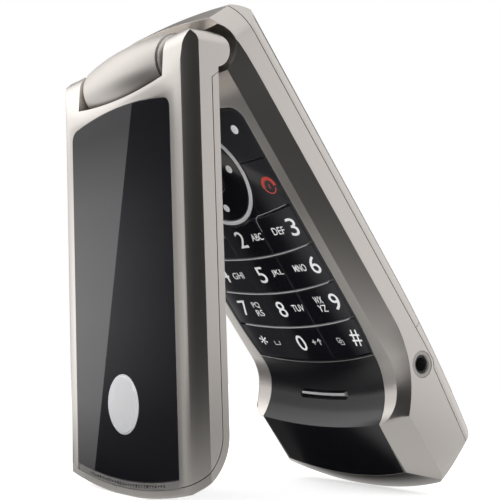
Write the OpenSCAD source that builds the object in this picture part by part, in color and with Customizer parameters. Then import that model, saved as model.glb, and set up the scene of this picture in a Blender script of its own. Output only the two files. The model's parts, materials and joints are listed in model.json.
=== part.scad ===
// Clamshell phone, standing as a tent on the free ends of its two halves.
// Both halves are drawn lying on their back: x runs across, y runs up the length
// with the hinge axis at y = 0, and z runs out of the keypad or of the lid's outer
// face, with the hinge axis at z = 0. on_lid() and on_base() then stand them up.

/* [Phone] */
// Overall width
body_w = 46; // [43:0.5:50]
// Angle between the two halves as the phone stands
open_angle = 34.9; // [25:0.1:50]
// Wall of the moulded housings
wall = 1; // [0.8:0.1:1.2]
// Running gap between pieces that move past each other
run_gap = 0.3; // [0.2:0.05:0.4]
// Gap between pieces that are fitted and stay put
fit_gap = 0.05; // [0.03:0.01:0.1]
// Width of the open seam between the two shells of each half
seam_gap = 0.12; // [0.08:0.02:0.14]
// Radius of the curved free ends in plan
end_r = 94; // [85:1:105]

/* [Lid] */
// Hinge axis to the lid's free end
lid_len = 73.3; // [71:0.1:76]
// Height of the lid's outer face over the hinge axis
lid_face = 5.2; // [5:0.1:5.8]
// Depth of the lid's inner face below the hinge axis
lid_inner = 0.8; // [0.6:0.1:1]
// Width of the rolled edge along each side
roll_w = 4.5; // [3.5:0.1:5]
// Drop of the rolled edge from the outer face to the side ridge
roll_drop = 2.3; // [1.8:0.1:2.8]
// Thickness of the inner housing, and of its nose at the free end
inner_t = 1.25; // [1.1:0.05:1.4]
// Radius of the nose that tucks into the scoop of the base
nose_r = 8.7; // [8:0.1:9.5]
// Radius of the hinge ears
ear_r = 3.2; // [3.1:0.05:3.4]
// Width of each hinge ear
ear_w = 8; // [7:0.1:9]
// Radius of the outer corners of the ears in plan
ear_corner = 2.6; // [2:0.1:3]
// Radius that the front of the ears keeps to about the hinge axis
shoulder_r = 4.7; // [4.55:0.05:4.75]
// Height of the rubber bumpers over the inner face
bumper_h = 0.8; // [0.6:0.1:0.8]

/* [Front window] */
// Width of the gloss window
window_w = 34.7; // [32:0.1:36]
// Hinge axis to the top edge of the window
window_top = 5.9; // [5.6:0.1:8]
// Thickness of the window
window_t = 0.8; // [0.6:0.1:1]
// Radius of the arched top edges of the window and the keypad
arch_r = 90; // [70:1:110]
// Corner radius at the top of the window
window_corner = 2; // [1:0.1:3]
// Length of the speaker strip between the window and the end seam
grille_len = 1.35; // [1.2:0.05:1.6]
// Diameter of the round badge
badge_d = 10.3; // [8:0.1:12]
// Hinge axis to the middle of the badge
badge_y = 57.8; // [50:0.1:60]
// Thickness of the badge
badge_t = 0.6; // [0.5:0.05:0.7]

/* [Base] */
// Hinge axis to the tip of the chin
base_len = 93.3; // [92:0.1:94]
// Depth of the keypad face below the hinge axis
key_face = 1.9; // [1.7:0.1:2]
// Depth of the back below the hinge axis
back_face = 12; // [11.8:0.1:12.6]
// Depth of the side ridge along the keypad
ridge_z = 5.5; // [5.2:0.1:5.8]
// Height of the side ridge along the chin
chin_ridge = 2.3; // [1.8:0.1:2.6]
// Width of the flat silver land beside the keypad
land_w = 2.5; // [2:0.1:3]
// Gap between the lid's nose and the chin when the phone is shut
scoop_gap = 2.5; // [1.6:0.1:2.6]
// Length over which the land pinches out at the chin
land_pinch = 2.8; // [2.4:0.1:5]
// Width of the gloss chin cover at the chin's crest
chin_w = 35; // [34:0.1:36]
// Width of the gloss chin cover at its tip
chin_tip_w = 33.2; // [32:0.1:34]
// How far the sides of the gloss chin cover bow in through the scoop
chin_bow = 0.4; // [0.2:0.05:0.5]
// Length of the base where its back ends
tail_len = 91; // [90:0.1:91.5]
// Hinge axis to where the back starts to curve up towards the tail
tail_start = 52; // [50:0.5:56]
// Rise of the back where it ends
tail_rise = 3; // [2.6:0.1:3.2]
// Radius of the edge between the back and the tip
tail_round = 2.8; // [2:0.1:3.2]
// Radius of the chin's tip in plan
tip_r = 70; // [66:1:80]
// Width of the bevel between the chin's front and its tip
tip_bevel = 5.3; // [4.6:0.1:5.6]
// Radius of the round at the hinge end, seen from the side
top_r = 7; // [6.4:0.1:7.2]
// Radius of the corners of the hinge end in plan
end_corner = 7.5; // [6:0.5:8.5]
// Radius of the bowed hinge end in plan
end_bow = 120; // [90:5:150]
// Radius of the corners of the chin's tip in plan
tip_corner = 3; // [2:0.5:5]
// Radius of the edges along the back
back_corner = 2.4; // [2:0.1:3]
// How far the hinge end reaches past the hinge axis
top_reach = 5.8; // [5.6:0.1:6]
// Radius of the cradle behind the hinge ears
cradle_r = 4.95; // [4.9:0.05:5.1]
// Depth of the cradle's rim below the hinge axis
rim_z = 4.2; // [4.1:0.1:4.6]
// Depth of the seam between the front and rear housings
seam_z = 9.1; // [8.9:0.1:9.4]
// Hinge axis to the split between the battery cover and the rear housing
split_y = 62.75; // [61.5:0.25:63.5]
// Wall of the battery cover
cover_t = 0.8; // [0.6:0.1:0.9]
// Thickness of the gloss chin cover
chin_t = 1; // [0.8:0.1:1.2]

/* [Hinge] */
// Radius of the knuckle at the middle
knuckle_r = 6; // [5.8:0.1:6.2]
// How much slimmer the knuckle is at its ends
knuckle_sag = 1.3; // [1:0.1:1.6]
// Radius of the hinge cartridge
cartridge_r = 2.6; // [2.4:0.05:2.7]
// Length of the hinge cartridge
cartridge_len = 13; // [12:0.5:13.5]
// Radius of the hinge shaft
shaft_r = 1.3; // [1.1:0.05:1.4]
// Radius of the shaft's head, and of the bush at the other side
head_r = 2.1; // [1.9:0.05:2.3]
// Wire diameter of the hinge spring
spring_wire = 0.5; // [0.4:0.05:0.6]

/* [Keypad] */
// Width of the gloss keypad
keypad_w = 36.6; // [34:0.1:38]
// Hinge axis to the top edge of the keypad
keypad_top = 9.2; // [8:0.1:9.8]
// Hinge axis to where the sides of the keypad start to draw in
keypad_waist = 53; // [50:0.5:56]
// Radius of the sides where they draw in
waist_r = 56; // [50:1:70]
// Corner radius at the top of the keypad
keypad_corner = 3; // [2:0.1:4]
// Thickness of the key caps and the key frame
key_t = 0.9; // [0.7:0.1:1]
// Travel of a key
key_travel = 0.3; // [0.2:0.05:0.35]
// Hinge axis to the line over the first row of number keys
row_top = 32.2; // [32:0.1:32.4]
// Pitch of the key rows
row_pitch = 8.2; // [8:0.02:8.24]
// Border of the key frame beside and over the keys
key_border = 0.6; // [0.5:0.05:0.8]
// Border of the key frame under the last row
key_foot = 0.28; // [0.25:0.01:0.4]
// Width of the ledge that the key frame rests on
key_ledge = 0.35; // [0.25:0.05:0.35]
// Radius of the curved rows in plan
row_r = 91; // [80:1:110]
// Width of the middle column of keys
column_w = 11.4; // [10.5:0.1:12.5]
// Width of the groove between key rows
row_groove = 0.5; // [0.45:0.05:0.7]
// Width of the silver ribs between key rows
rib_w = 0.2; // [0.15:0.05:0.3]
// Width of the slit between two keys of a row
key_slit = 0.16; // [0.12:0.02:0.2]
// Hinge axis to the middle of the navigation key
nav_y = 22.2; // [21.6:0.1:22.4]
// Outer diameter of the ring round the navigation key
nav_d = 20.8; // [19:0.1:21.2]
// Width of the ring round the navigation key
nav_ring_w = 0.8; // [0.6:0.1:1.2]
// Diameter of the select key
select_d = 7; // [6:0.1:8]
// Hinge axis to the line between the soft keys and the call keys
soft_y = 21; // [20:0.1:22]

/* [Sockets and side key] */
// Hinge axis to the middle of the headset jack
jack_y = 69; // [68:0.1:70]
// Depth of the headset jack below the hinge axis
jack_z = 6.15; // [6:0.05:6.3]
// Bore of the headset jack
jack_bore = 2.6; // [2.55:0.05:2.8]
// Outer diameter of the jack's collar
jack_d = 4.9; // [4.4:0.1:5.2]
// Depth of the jack's bore
jack_len = 12; // [10:0.5:13]
// Depth of the charging socket below the hinge axis
usb_z = 5.4; // [5.2:0.1:5.6]
// Width of the charging socket
usb_w = 7.7; // [7.2:0.1:8.2]
// Height of the charging socket
usb_h = 3.8; // [3.4:0.1:4]
// Length of the charging socket
usb_len = 9; // [8:0.5:10]
// Length of the volume key
volume_len = 13; // [10:0.5:15]
// Height of the volume key
volume_h = 2.2; // [1.8:0.1:2.4]
// How far the volume key stands out of the side
volume_out = 0.5; // [0.4:0.1:0.6]
// Hinge axis to the middle of the volume key
volume_y = 24; // [20:0.5:28]
// Length of the microphone slot
mic_len = 14.3; // [12:0.1:15]
// Width of the microphone slot
mic_w = 1.5; // [1.1:0.1:1.7]
// Length of the bar in the microphone slot
mic_bar_len = 13; // [10:0.1:13.4]
// Width of the bar in the microphone slot
mic_bar_w = 0.4; // [0.3:0.05:0.6]
// How far the microphone slot lies to the left of the middle
mic_left = 1.1; // [0:0.1:1.5]
// How far up the scoop the microphone slot lies
mic_up = 5.7; // [5:0.1:6.2]

/* [Inner parts] */
// Thickness of the circuit boards
board_t = 0.9; // [0.7:0.1:1]
// Width of the inner display window
lens_w = 34; // [32:0.5:35]
// Length of the inner display window
lens_len = 43; // [41:0.5:44]
// Thickness of the inner display window
lens_t = 0.8; // [0.7:0.05:0.9]
// Width of the battery
battery_w = 34; // [32:0.5:35]
// Length of the battery
battery_len = 45; // [42:0.5:46]
// Thickness of the battery
battery_t = 3.6; // [3.3:0.1:3.7]
// Radius of the vibration motor
motor_r = 1.8; // [1.6:0.1:1.9]
// Length of the vibration motor's can
motor_len = 8; // [7:0.5:9]
// Screw thread radius
screw_r = 0.7; // [0.6:0.05:0.8]
// Screw head radius
screw_head_r = 1.3; // [1.2:0.05:1.4]

/* [Hidden] */
$fn = 48;
DISC = 240;
FAR = 120;
EPS = 0.02;

SILVER = "#cfcbc7";
GLOSS = "#0b0b0d";

half_w = body_w / 2;
// Free ends are arcs about one centre on the hinge side
arc_c = end_r - lid_len;
// Rolled edge of the lid as a circular arc
roll_a = 2 * atan(roll_drop / roll_w);
roll_r = roll_w / sin(roll_a);
// Nose of the lid and scoop of the base share the height of their arc centres
nose_z = nose_r - lid_inner;
nose_rho = end_r - sqrt(pow(nose_r, 2) - pow(nose_z - lid_face, 2));
scoop_r = nose_z + key_face;
scoop_rho = end_r + scoop_gap - sqrt(pow(scoop_r, 2) - pow(nose_z - lid_face, 2));
lid_seam = inner_t - lid_inner;
// Where the seam meets the ears, at the inner face and at the depth where it turns down the side
seam_high = ear_r + 0.8;
seam_low = ear_r + 1.8;
foot_bevel = 0.35;
// Ears
ear_in = half_w - ear_w;
knuckle_half = ear_in - run_gap;
knuckle_arc = (pow(knuckle_half, 2) + pow(knuckle_sag, 2)) / (2 * knuckle_sag);
notch_gap = 0.75;
// Where the lid's front leaves the shoulder arc towards the window
slope_end = 6.5;
slope_d = sqrt(pow(slope_end, 2) + pow(lid_face, 2));
slope_a = atan2(lid_face, slope_end) + acos(shoulder_r / slope_d);
// Window and speaker strip
window_rho = end_r - inner_t - grille_len;
recess_rho = end_r - inner_t - 0.05;
// Chin
tip_c = tip_r - base_len;
chin_front_rho = tip_r - tip_bevel;
tail_z = back_face - tail_rise;
// Arc of the back towards the tail, its slope where it ends, and the slope of the tip
tail_run = tail_len - tail_start;
tail_arc = (pow(tail_run, 2) + pow(tail_rise, 2)) / (2 * tail_rise);
tail_a = asin(tail_run / tail_arc);
tail_sweep = tail_a + 3;
tail_lap = 2;
tip_a = atan2(chin_ridge + tail_z, base_len - tail_len);
// Ridge of the side wall as it climbs to the chin
climb_r = 19.9;
climb_y = 58.4;
climb_top = climb_y + sqrt(pow(climb_r, 2) - pow(climb_r - ridge_z - chin_ridge, 2));
// Key stack
cap_floor = -key_face - key_t;
membrane_top = cap_floor - key_travel - fit_gap;
membrane_t = 0.5;
dome_z = membrane_top - membrane_t - fit_gap;
dome_t = 0.15;
board_top = dome_z - dome_t - fit_gap;
board_bottom = board_top - board_t;
rib_side = 2.4;
soft_x = 8;
key_rho = arc_c + row_top + 4 * row_pitch;
keypad_rho = key_rho + key_foot;
// Battery bay
battery_floor = -back_face + cover_t + 0.5;
battery_top = battery_floor + battery_t;
tray_t = 0.5;
room_y = -9.5;
tray_y = room_y - 0.1;
battery_end = split_y - 3;
// Lower end of the main board, clear of the sockets, and its side edge
board_end = min(split_y - 0.25, jack_y - max(jack_d, usb_w) / 2 - 0.5);
board_x = half_w - 3.6;
// Shield cans under the board: side, far end, the gap between the two, and the near end
can_x = keypad_w / 2 - key_ledge;
can_end = board_end - 2.5;
can_gap = [35.5, 1.5];
can_start = 16;
can_t = 0.3;
// Card holder at the near end of the board
sim_x = 2.5;
sim_w = 15;
sim_y = 10.6;
sim_len = 4;
// Lid stack
cavity_top = lid_face - window_t - wall;
lens_top = -lid_inner + lens_t;
lens_y = 12;
lid_board_end = lid_len - 16.3;
// Outer display and its opening
outer_w = 23.4;
outer_len = 17.4;
outer_y = 20.3;
outer_gap = 0.3;
// Loudspeaker, from the end of the inner display to just short of the speaker strip
speaker_end = lid_len - 8.7;
speaker_len = speaker_end - lens_y - lens_len - 0.1;
speaker_r = 0.663 * speaker_len;
speaker_flat = speaker_len - speaker_r;
speaker_y = speaker_end - speaker_r;
// Stance: both feet touch the floor, and the origin is under the middle of the phone
lid_foot = [lid_len, lid_face - foot_bevel];
chin_foot = [base_len, chin_ridge];
foot_dy = chin_foot[0] * sin(open_angle) - chin_foot[1] * cos(open_angle) + lid_foot[1];
foot_dz = lid_foot[0] - chin_foot[0] * cos(open_angle) - chin_foot[1] * sin(open_angle);
tilt = atan(-foot_dz / foot_dy);
base_a = open_angle + tilt;
hinge_h = lid_foot[0] * cos(tilt) + lid_foot[1] * sin(tilt);
back_y = tail_len * sin(base_a) + tail_z * cos(base_a);
hinge_y = (knuckle_r - back_y) / 2;

module on_lid() translate([0, hinge_y, hinge_h]) rotate([90 + tilt, 0, 0]) children();
module on_base() translate([0, hinge_y, hinge_h]) rotate([90 + base_a, 0, 0]) children();
// A profile drawn as (length, height), pulled across the width
module across(w) rotate([90, 0, 90]) linear_extrude(w, center = true) children();
// A section drawn as (across, height), pulled along the length from y0 to y1
module along(y0, y1) translate([0, y1, 0]) rotate([90, 0, 0]) linear_extrude(y1 - y0) children();
// A profile drawn as (radius, position), turned about the hinge axis
module about_hinge() rotate([0, 90, 0]) rotate_extrude($fn = 96) children();
// A profile drawn as (radius, height), turned about the centre of the end arcs
module end_disc(c) translate([0, c, 0]) rotate_extrude($fn = DISC) children();
module mirrored() { children(); mirror([1, 0, 0]) children(); }
// Points along an arc about c
function arc_pts(c, r, a0, a1, n = 10) =
    [for (i = [0 : n]) let (a = a0 + (a1 - a0) * i / n) [c[0] + r * cos(a), c[1] + r * sin(a)]];
module box(x0, x1, y0, y1, z0, z1) translate([x0, y0, z0]) cube([x1 - x0, y1 - y0, z1 - z0]);
module rod(r, x0, x1) translate([x0, 0, 0]) rotate([0, 90, 0]) cylinder(r = r, h = x1 - x0);

// ---------- outlines ----------

// Panel with an arched top, round top corners and a curved bottom edge
module arched_2d(hw, top, corner, rho) {
    c = arch_r + top;
    corner_y = -c + sqrt(pow(arch_r - corner, 2) - pow(hw - corner, 2));
    intersection() {
        translate([0, -c]) circle(r = arch_r, $fn = DISC);
        translate([0, arc_c]) circle(r = rho, $fn = DISC);
        union() {
            translate([-hw, -FAR]) square([2 * hw, FAR + corner_y]);
            translate([corner - hw, -FAR]) square([2 * (hw - corner), FAR]);
            for (s = [-1, 1]) translate([s * (hw - corner), corner_y]) circle(r = corner);
        }
    }
}
module window_2d(d) arched_2d(window_w / 2 - d, window_top + d, window_corner, window_rho - d);
module recess_2d() arched_2d(window_w / 2, window_top, window_corner, recess_rho);
// How far the sides of the keypad have drawn in at v, and all that lies between them
function waist_x(v) = v < keypad_waist ? 0 : waist_r - sqrt(pow(waist_r, 2) - pow(v - keypad_waist, 2));
module waist_2d(d) {
    side = concat([[0, 0]], [for (v = [keypad_waist : 2 : keypad_waist + 14]) [waist_x(v), -v]]);
    polygon(concat([for (p = side) [keypad_w / 2 - d - p[0], p[1]]],
        [for (i = [len(side) - 1 : -1 : 0]) [side[i][0] + d - keypad_w / 2, side[i][1]]]));
}
module keypad_2d(d) intersection() {
    arched_2d(keypad_w / 2 - d, keypad_top + d, keypad_corner, keypad_rho - d);
    waist_2d(d);
}

// ---------- form of the lid ----------

module lid_section_2d(d) {
    hw = half_w - d;
    roll = [for (i = [0 : 8]) let (t = roll_a * i / 8)
        [hw - roll_w + roll_r * sin(t), lid_face - d - roll_r * (1 - cos(t))]];
    low = -ear_r - 1;
    polygon(concat([for (p = roll) p], [[hw, low], [-hw, low]],
        [for (i = [8 : -1 : 0]) [-roll[i][0], roll[i][1]]]));
}
module lid_profile_2d(d) {
    circle(r = ear_r - d);
    intersection() {
        circle(r = shoulder_r - d);
        translate([0, 0]) square([ear_r - d, FAR]);
    }
    polygon([[0, -lid_inner + d], [-shoulder_r * cos(slope_a), (shoulder_r - d) * sin(slope_a)],
        [-slope_end, lid_face - d], [-FAR, lid_face - d], [-FAR, -lid_inner + d]]);
}
// Disc whose rim is the nose of the lid: flat face outside, round towards the keypad
function nose_arc(r) = let (a1 = asin((lid_face - nose_z) / r))
    [for (i = [0 : 12]) let (a = -90 + (a1 + 90) * i / 12)
        [nose_rho + r * cos(a), nose_z + r * sin(a)]];
module nose_disc() end_disc(arc_c) {
    arc = nose_arc(nose_r);
    polygon(concat([[0, -lid_inner]], [for (i = [0 : 11]) arc[i]],
        [[end_r, lid_face - foot_bevel], [end_r - foot_bevel, lid_face], [0, lid_face]]));
}
// The same disc sunk by d all round and open at the outer face
module nose_core(d) end_disc(arc_c) {
    arc = nose_arc(nose_r - d);
    polygon(concat([[0, -lid_inner + d]], arc, [[arc[12][0], FAR], [0, FAR]]));
}
// Plan of the lid, with round ear corners
module lid_plan_2d(d) {
    x = half_w - ear_corner;
    y = ear_r - ear_corner;
    polygon(concat([[-half_w, -FAR], [half_w, -FAR]], arc_pts([x, y], ear_corner - d, 0, 90),
        arc_pts([-x, y], ear_corner - d, 90, 180)));
}
module lid_form(d) intersection() {
    linear_extrude(FAR, center = true) lid_plan_2d(d);
    along(-FAR, FAR / 2) lid_section_2d(d);
    across(FAR) lid_profile_2d(d);
    union() {
        nose_disc();
        // The ears reach below the disc's flat inner face
        box(-FAR, FAR, -ear_r - 3, FAR, -FAR, FAR);
    }
}
// Everything inside the parting seam, which runs round the nose and slants up to the ears
module lid_core(g) {
    nose_core(inner_t + g);
    across(FAR) polygon([[FAR, -FAR], [FAR, FAR], [g - seam_low, FAR], [g - seam_low, lid_seam],
        [g - seam_high, -lid_inner], [g - seam_high, -FAR]]);
}
module knuckle_form(gap, extra) {
    n = 16;
    h = knuckle_half + extra;
    about_hinge() polygon(concat([[0, -h]],
        [for (i = [-n : n]) let (x = h * i / n)
            [knuckle_r + gap - knuckle_arc + sqrt(pow(knuckle_arc, 2) - pow(x, 2)), x]],
        [[0, h]]));
}
module notch() {
    n = 16;
    r1 = knuckle_r + notch_gap;
    sag = knuckle_sag / 2;
    about_hinge() polygon(concat([[0, -ear_in]],
        [for (i = [-n : n]) let (x = ear_in * i / n) [r1 - sag * pow(x / ear_in, 2), x]],
        [[0, ear_in]]));
    box(-ear_in, ear_in, 0, FAR, -FAR / 2, FAR / 2);
}
module window_seat() translate([0, 0, lid_face - window_t]) linear_extrude(FAR) recess_2d();
screw_spots_lid = [[18.2, -10.5], [17.5, -60.5]];

// ---------- lid ----------

module lid_front_housing() color(SILVER) on_lid() difference() {
    intersection() { lid_form(0); lid_core(seam_gap); }
    notch();
    // Room for the works
    difference() {
        intersection() {
            lid_form(wall);
            box(-FAR, FAR, -lid_len, -knuckle_r - notch_gap - wall, lid_seam - EPS, cavity_top);
            union() {
                nose_core(inner_t + wall);
                end_disc(arc_c) square([nose_rho, FAR]);
            }
        }
        mirrored() for (p = screw_spots_lid)
            translate([p[0], p[1], 0]) cylinder(r = screw_head_r + 0.7, h = cavity_top);
    }
    // Seat of the window and the speaker strip, and the opening behind the display
    window_seat();
    outer_box(outer_gap, 0, FAR);
    box(-8, 8, -lid_len + 3, -lid_len + 6, 0, FAR);
    // Bores for the shaft's head, the bush and the screws
    rod(head_r + fit_gap, -half_w + 1.5, -ear_in + 1);
    rod(head_r + run_gap / 2, ear_in - 1, half_w - 1.5);
    mirrored() for (p = screw_spots_lid)
        translate([p[0], p[1], 0]) cylinder(r = screw_r + fit_gap, h = cavity_top - 0.3);
}
module front_window() color(GLOSS) on_lid() difference() {
    translate([0, 0, lid_face - window_t + fit_gap]) linear_extrude(window_t - fit_gap) window_2d(fit_gap);
    translate([0, -badge_y, lid_face - badge_t / 2]) cylinder(r = badge_d / 2 + fit_gap, h = 1);
}
module badge_disc() color("#e4e4e6") on_lid()
    translate([0, -badge_y, lid_face - badge_t / 2 + fit_gap]) rotate_extrude() {
        square([badge_d / 2 - 0.3, badge_t]);
        square([badge_d / 2, badge_t - 0.25]);
    }
module speaker_grille() color("#8d8a86") on_lid() difference() {
    translate([0, 0, lid_face - window_t + fit_gap]) linear_extrude(window_t - 0.15) difference() {
        intersection() {
            recess_2d();
            translate([0, arc_c]) circle(r = recess_rho - fit_gap, $fn = DISC);
        }
        translate([0, arc_c]) circle(r = window_rho + fit_gap, $fn = DISC);
        mirrored() translate([window_w / 2 - fit_gap, -FAR]) square([1, FAR]);
    }
    pitch = 0.9;
    mid = (recess_rho + window_rho) / 2;
    for (i = [-14 : 14]) translate([0, arc_c, 0]) rotate(i * pitch / mid * 180 / PI)
        translate([0, -mid, 0]) cylinder(r = 0.28, h = FAR, $fn = 16);
}
module lid_inner_housing() color(SILVER) on_lid() difference() {
    intersection() {
        lid_form(0);
        box(-FAR, FAR, -FAR, -seam_high, -FAR, FAR);
    }
    lid_core(0);
    notch();
    window_seat();
    translate([0, 0, -lid_inner - 1]) linear_extrude(lens_t + 1) lens_2d(fit_gap);
    linear_extrude(FAR, center = true) lens_2d(-1.2);
    // Sound slots of the earpiece
    for (i = [-1 : 1]) box(-4 + abs(i), 4 - abs(i), -9.9 + i * 1.1, -9.3 + i * 1.1, -2, 3);
    mirrored() for (p = screw_spots_lid) translate([p[0], p[1], -lid_inner - 1]) {
        cylinder(r = screw_r + fit_gap, h = FAR);
        cylinder(r = screw_head_r + fit_gap, h = 1.7);
    }
}
module lens_2d(g) {
    r = 2;
    translate([0, -lens_y - lens_len / 2]) {
        square([lens_w + 2 * g, lens_len + 2 * g - 2 * r], center = true);
        square([lens_w + 2 * g - 2 * r, lens_len + 2 * g], center = true);
        for (x = [-1, 1], y = [-1, 1])
            translate([x * (lens_w / 2 + g - r), y * (lens_len / 2 + g - r)]) circle(r = r);
    }
}
module display_lens() color("#101014") on_lid()
    translate([0, 0, -lid_inner + 0.05]) linear_extrude(lens_t - 0.05) lens_2d(0);
module display_panel() color("#23272e") on_lid()
    box(-lens_w / 2 + 2, lens_w / 2 - 2, -lens_y - lens_len + 3.5, -lens_y - 2,
        lens_top + fit_gap, lens_top + 1.1);
module backlight_frame() color("#e9e9e4") on_lid() difference() {
    box(-lens_w / 2 + 0.6, lens_w / 2 - 0.6, -lens_y - lens_len + 2.5, -lens_y - 0.6,
        lid_seam + fit_gap, cavity_top - board_t - 0.15);
    box(-lens_w / 2 + 1.9, lens_w / 2 - 1.9, -lens_y - lens_len + 3.4, -lens_y - 1.9,
        -1, lens_top + 1.1 + fit_gap);
}
module outer_display() color("#1c2126") on_lid()
    outer_box(0, cavity_top + fit_gap, lid_face - window_t - fit_gap);
module outer_box(g, z0, z1)
    box(-outer_w / 2 - g, outer_w / 2 + g, -outer_y - outer_len - g, g - outer_y, z0, z1);
module lid_circuit_board() color("#1d5b34") on_lid() {
    z = cavity_top - board_t - fit_gap;
    box(3 - half_w, half_w - 3, -lid_board_end, -14, z, z + board_t);
    box(-15.5, 15.5, -lid_board_end - 5.5, -8.6, z, z + board_t);
}
module earpiece() color("#5a5a5e") on_lid()
    translate([0, -9.6, 0]) intersection() {
        translate([0, 0, lid_seam + fit_gap]) cylinder(r = 3.5, h = cavity_top - board_t - 0.15 - lid_seam);
        box(-3.5, 3.5, -1.7, 1.7, 0, FAR);
    }
module loudspeaker() color("#3b3b40") on_lid() translate([0, -speaker_y, 0]) difference() {
    translate([0, 0, lid_seam + 0.35])
        intersection() {
            cylinder(r = speaker_r, h = cavity_top - board_t - 0.5 - lid_seam);
            box(-speaker_r, speaker_r, -speaker_r, speaker_flat, 0, FAR);
        }
    translate([0, 0, cavity_top - board_t - 0.45]) cylinder(r = 0.6 * speaker_r, h = 3);
}
module lid_screws() color("#77777a") on_lid() mirrored()
    for (p = screw_spots_lid) translate([p[0], p[1], -lid_inner + 0.35]) {
        cylinder(r = screw_r, h = cavity_top + lid_inner - 0.8);
        difference() {
            cylinder(r = screw_head_r, h = 0.32);
            translate([0, 0, -1]) cylinder(r = 0.5, h = 1.15, $fn = 6);
        }
    }
module lid_bumpers() color("#2a2a2c") on_lid() mirrored()
    for (p = screw_spots_lid) translate([p[0], p[1], -lid_inner - bumper_h])
        cylinder(r = screw_head_r, h = bumper_h + 0.3);

// ---------- hinge ----------

module hinge_shaft() color("#8f9093") on_lid() union() {
    rod(head_r, -half_w + 1.6, -ear_in - 0.1);
    rod(shaft_r, -ear_in - 0.2, -ear_in + cartridge_len - 1);
    // Cam that the follower presses on
    rod(cartridge_r - 0.45, -ear_in + 1.2, -ear_in + 3);
}
module hinge_cartridge() color("#9a9b9e") on_base() difference() {
    rod(cartridge_r, -ear_in + 0.5, -ear_in + cartridge_len);
    rod(cartridge_r - 0.25, -ear_in + 1, -ear_in + cartridge_len - 0.5);
    rod(shaft_r + 0.1, -ear_in - 1, -ear_in + 2);
}
module hinge_spring() color("#6f7073") on_base() {
    mean = (cartridge_r - 0.25 + shaft_r) / 2;
    x0 = -ear_in + 3.6;
    x1 = -ear_in + cartridge_len - 1;
    turns = 6;
    sides = 8;
    steps = turns * 12;
    ring = [for (i = [0 : steps]) for (j = [0 : sides - 1])
        let (a = 360 * turns * i / steps, b = 360 * j / sides,
            r = mean + spring_wire / 2 * cos(b))
        [x0 + (x1 - x0) * i / steps + spring_wire / 2 * sin(b), r * cos(a), r * sin(a)]];
    cap0 = [for (j = [0 : sides - 1]) j];
    cap1 = [for (j = [sides - 1 : -1 : 0]) steps * sides + j];
    skin = [for (i = [0 : steps - 1]) for (j = [0 : sides - 1])
        let (k = (j + 1) % sides)
        [i * sides + j, (i + 1) * sides + j, (i + 1) * sides + k, i * sides + k]];
    polyhedron(points = ring, faces = concat([cap0, cap1], skin), convexity = 6);
}
module hinge_bush() color("#3a3a3d") on_base() difference() {
    union() {
        rod(head_r, ear_in - 3, half_w - 1.7);
        rod(head_r + 0.5, ear_in - 6, ear_in - 1);
    }
    rod(head_r - 0.7, 0, FAR);
}
module hinge_knuckle() color(SILVER) on_base() difference() {
    round_end = 1.8;
    core_r = knuckle_r - knuckle_sag - round_end;
    core_h = knuckle_half - round_end;
    intersection() {
        knuckle_form(0, 0);
        about_hinge() {
            translate([0, -core_h]) square([knuckle_r + 1, 2 * core_h]);
            translate([0, -knuckle_half]) square([core_r, 2 * knuckle_half]);
            for (s = [-1, 1]) translate([core_r, s * core_h]) circle(r = round_end);
        }
    }
    rod(cartridge_r + fit_gap, -FAR, -ear_in + cartridge_len + 0.2);
    rod(head_r + fit_gap, ear_in - 4, FAR);
    rod(head_r + 0.5 + fit_gap, 0, ear_in - 1 + fit_gap);
}

// ---------- form of the base ----------

// Section of the base as (across, height above the back)
function base_section(d) = let (r = back_corner - d, x = half_w - back_corner, top = back_face + lid_face + 1)
    concat([[-half_w + d, top]], arc_pts([-x, back_corner], r, 180, 270),
        arc_pts([x, back_corner], r, 270, 360), [[half_w - d, top]]);
// The section pulled straight along the back, and past tail_lap also turned round the arc of the tail
module base_back(d) intersection() {
    translate([0, 0, -back_face]) along(-FAR, FAR / 2) polygon(base_section(d));
    union() {
        box(-FAR, FAR, -tail_start - tail_lap, FAR, -FAR, FAR);
        translate([0, -tail_start, tail_arc - back_face]) rotate([0, 90, 0]) rotate(-tail_sweep)
            rotate_extrude(angle = tail_sweep, $fn = DISC)
                polygon([for (p = base_section(d)) [tail_arc - p[1], p[0]]]);
    }
}
module base_profile_2d(d) {
    y = top_reach - top_r;
    polygon(concat([[-FAR, FAR], [-FAR, -FAR], [y, -FAR]],
        arc_pts([y, top_r - back_face], top_r - d, 270, 360, 16), [[top_reach - d, FAR]]));
}
// Disc whose rim is the tip of the chin, rounded where it meets the back
module chin_disc(d) end_disc(tip_c) {
    flat = tail_round / tan((180 - tip_a + tail_a) / 2);
    c = [tail_len + tip_c - flat * cos(tail_a) - tail_round * sin(tail_a),
        tail_round * cos(tail_a) - tail_z - flat * sin(tail_a)];
    edge = arc_pts(c, tail_round - d, tail_a - 90, tip_a - 90, 6);
    polygon(concat([[0, -FAR], [edge[0][0], -FAR]], edge,
        [[tip_r - d, chin_ridge], [chin_front_rho - d, lid_face - d], [0, lid_face - d]]));
}
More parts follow.
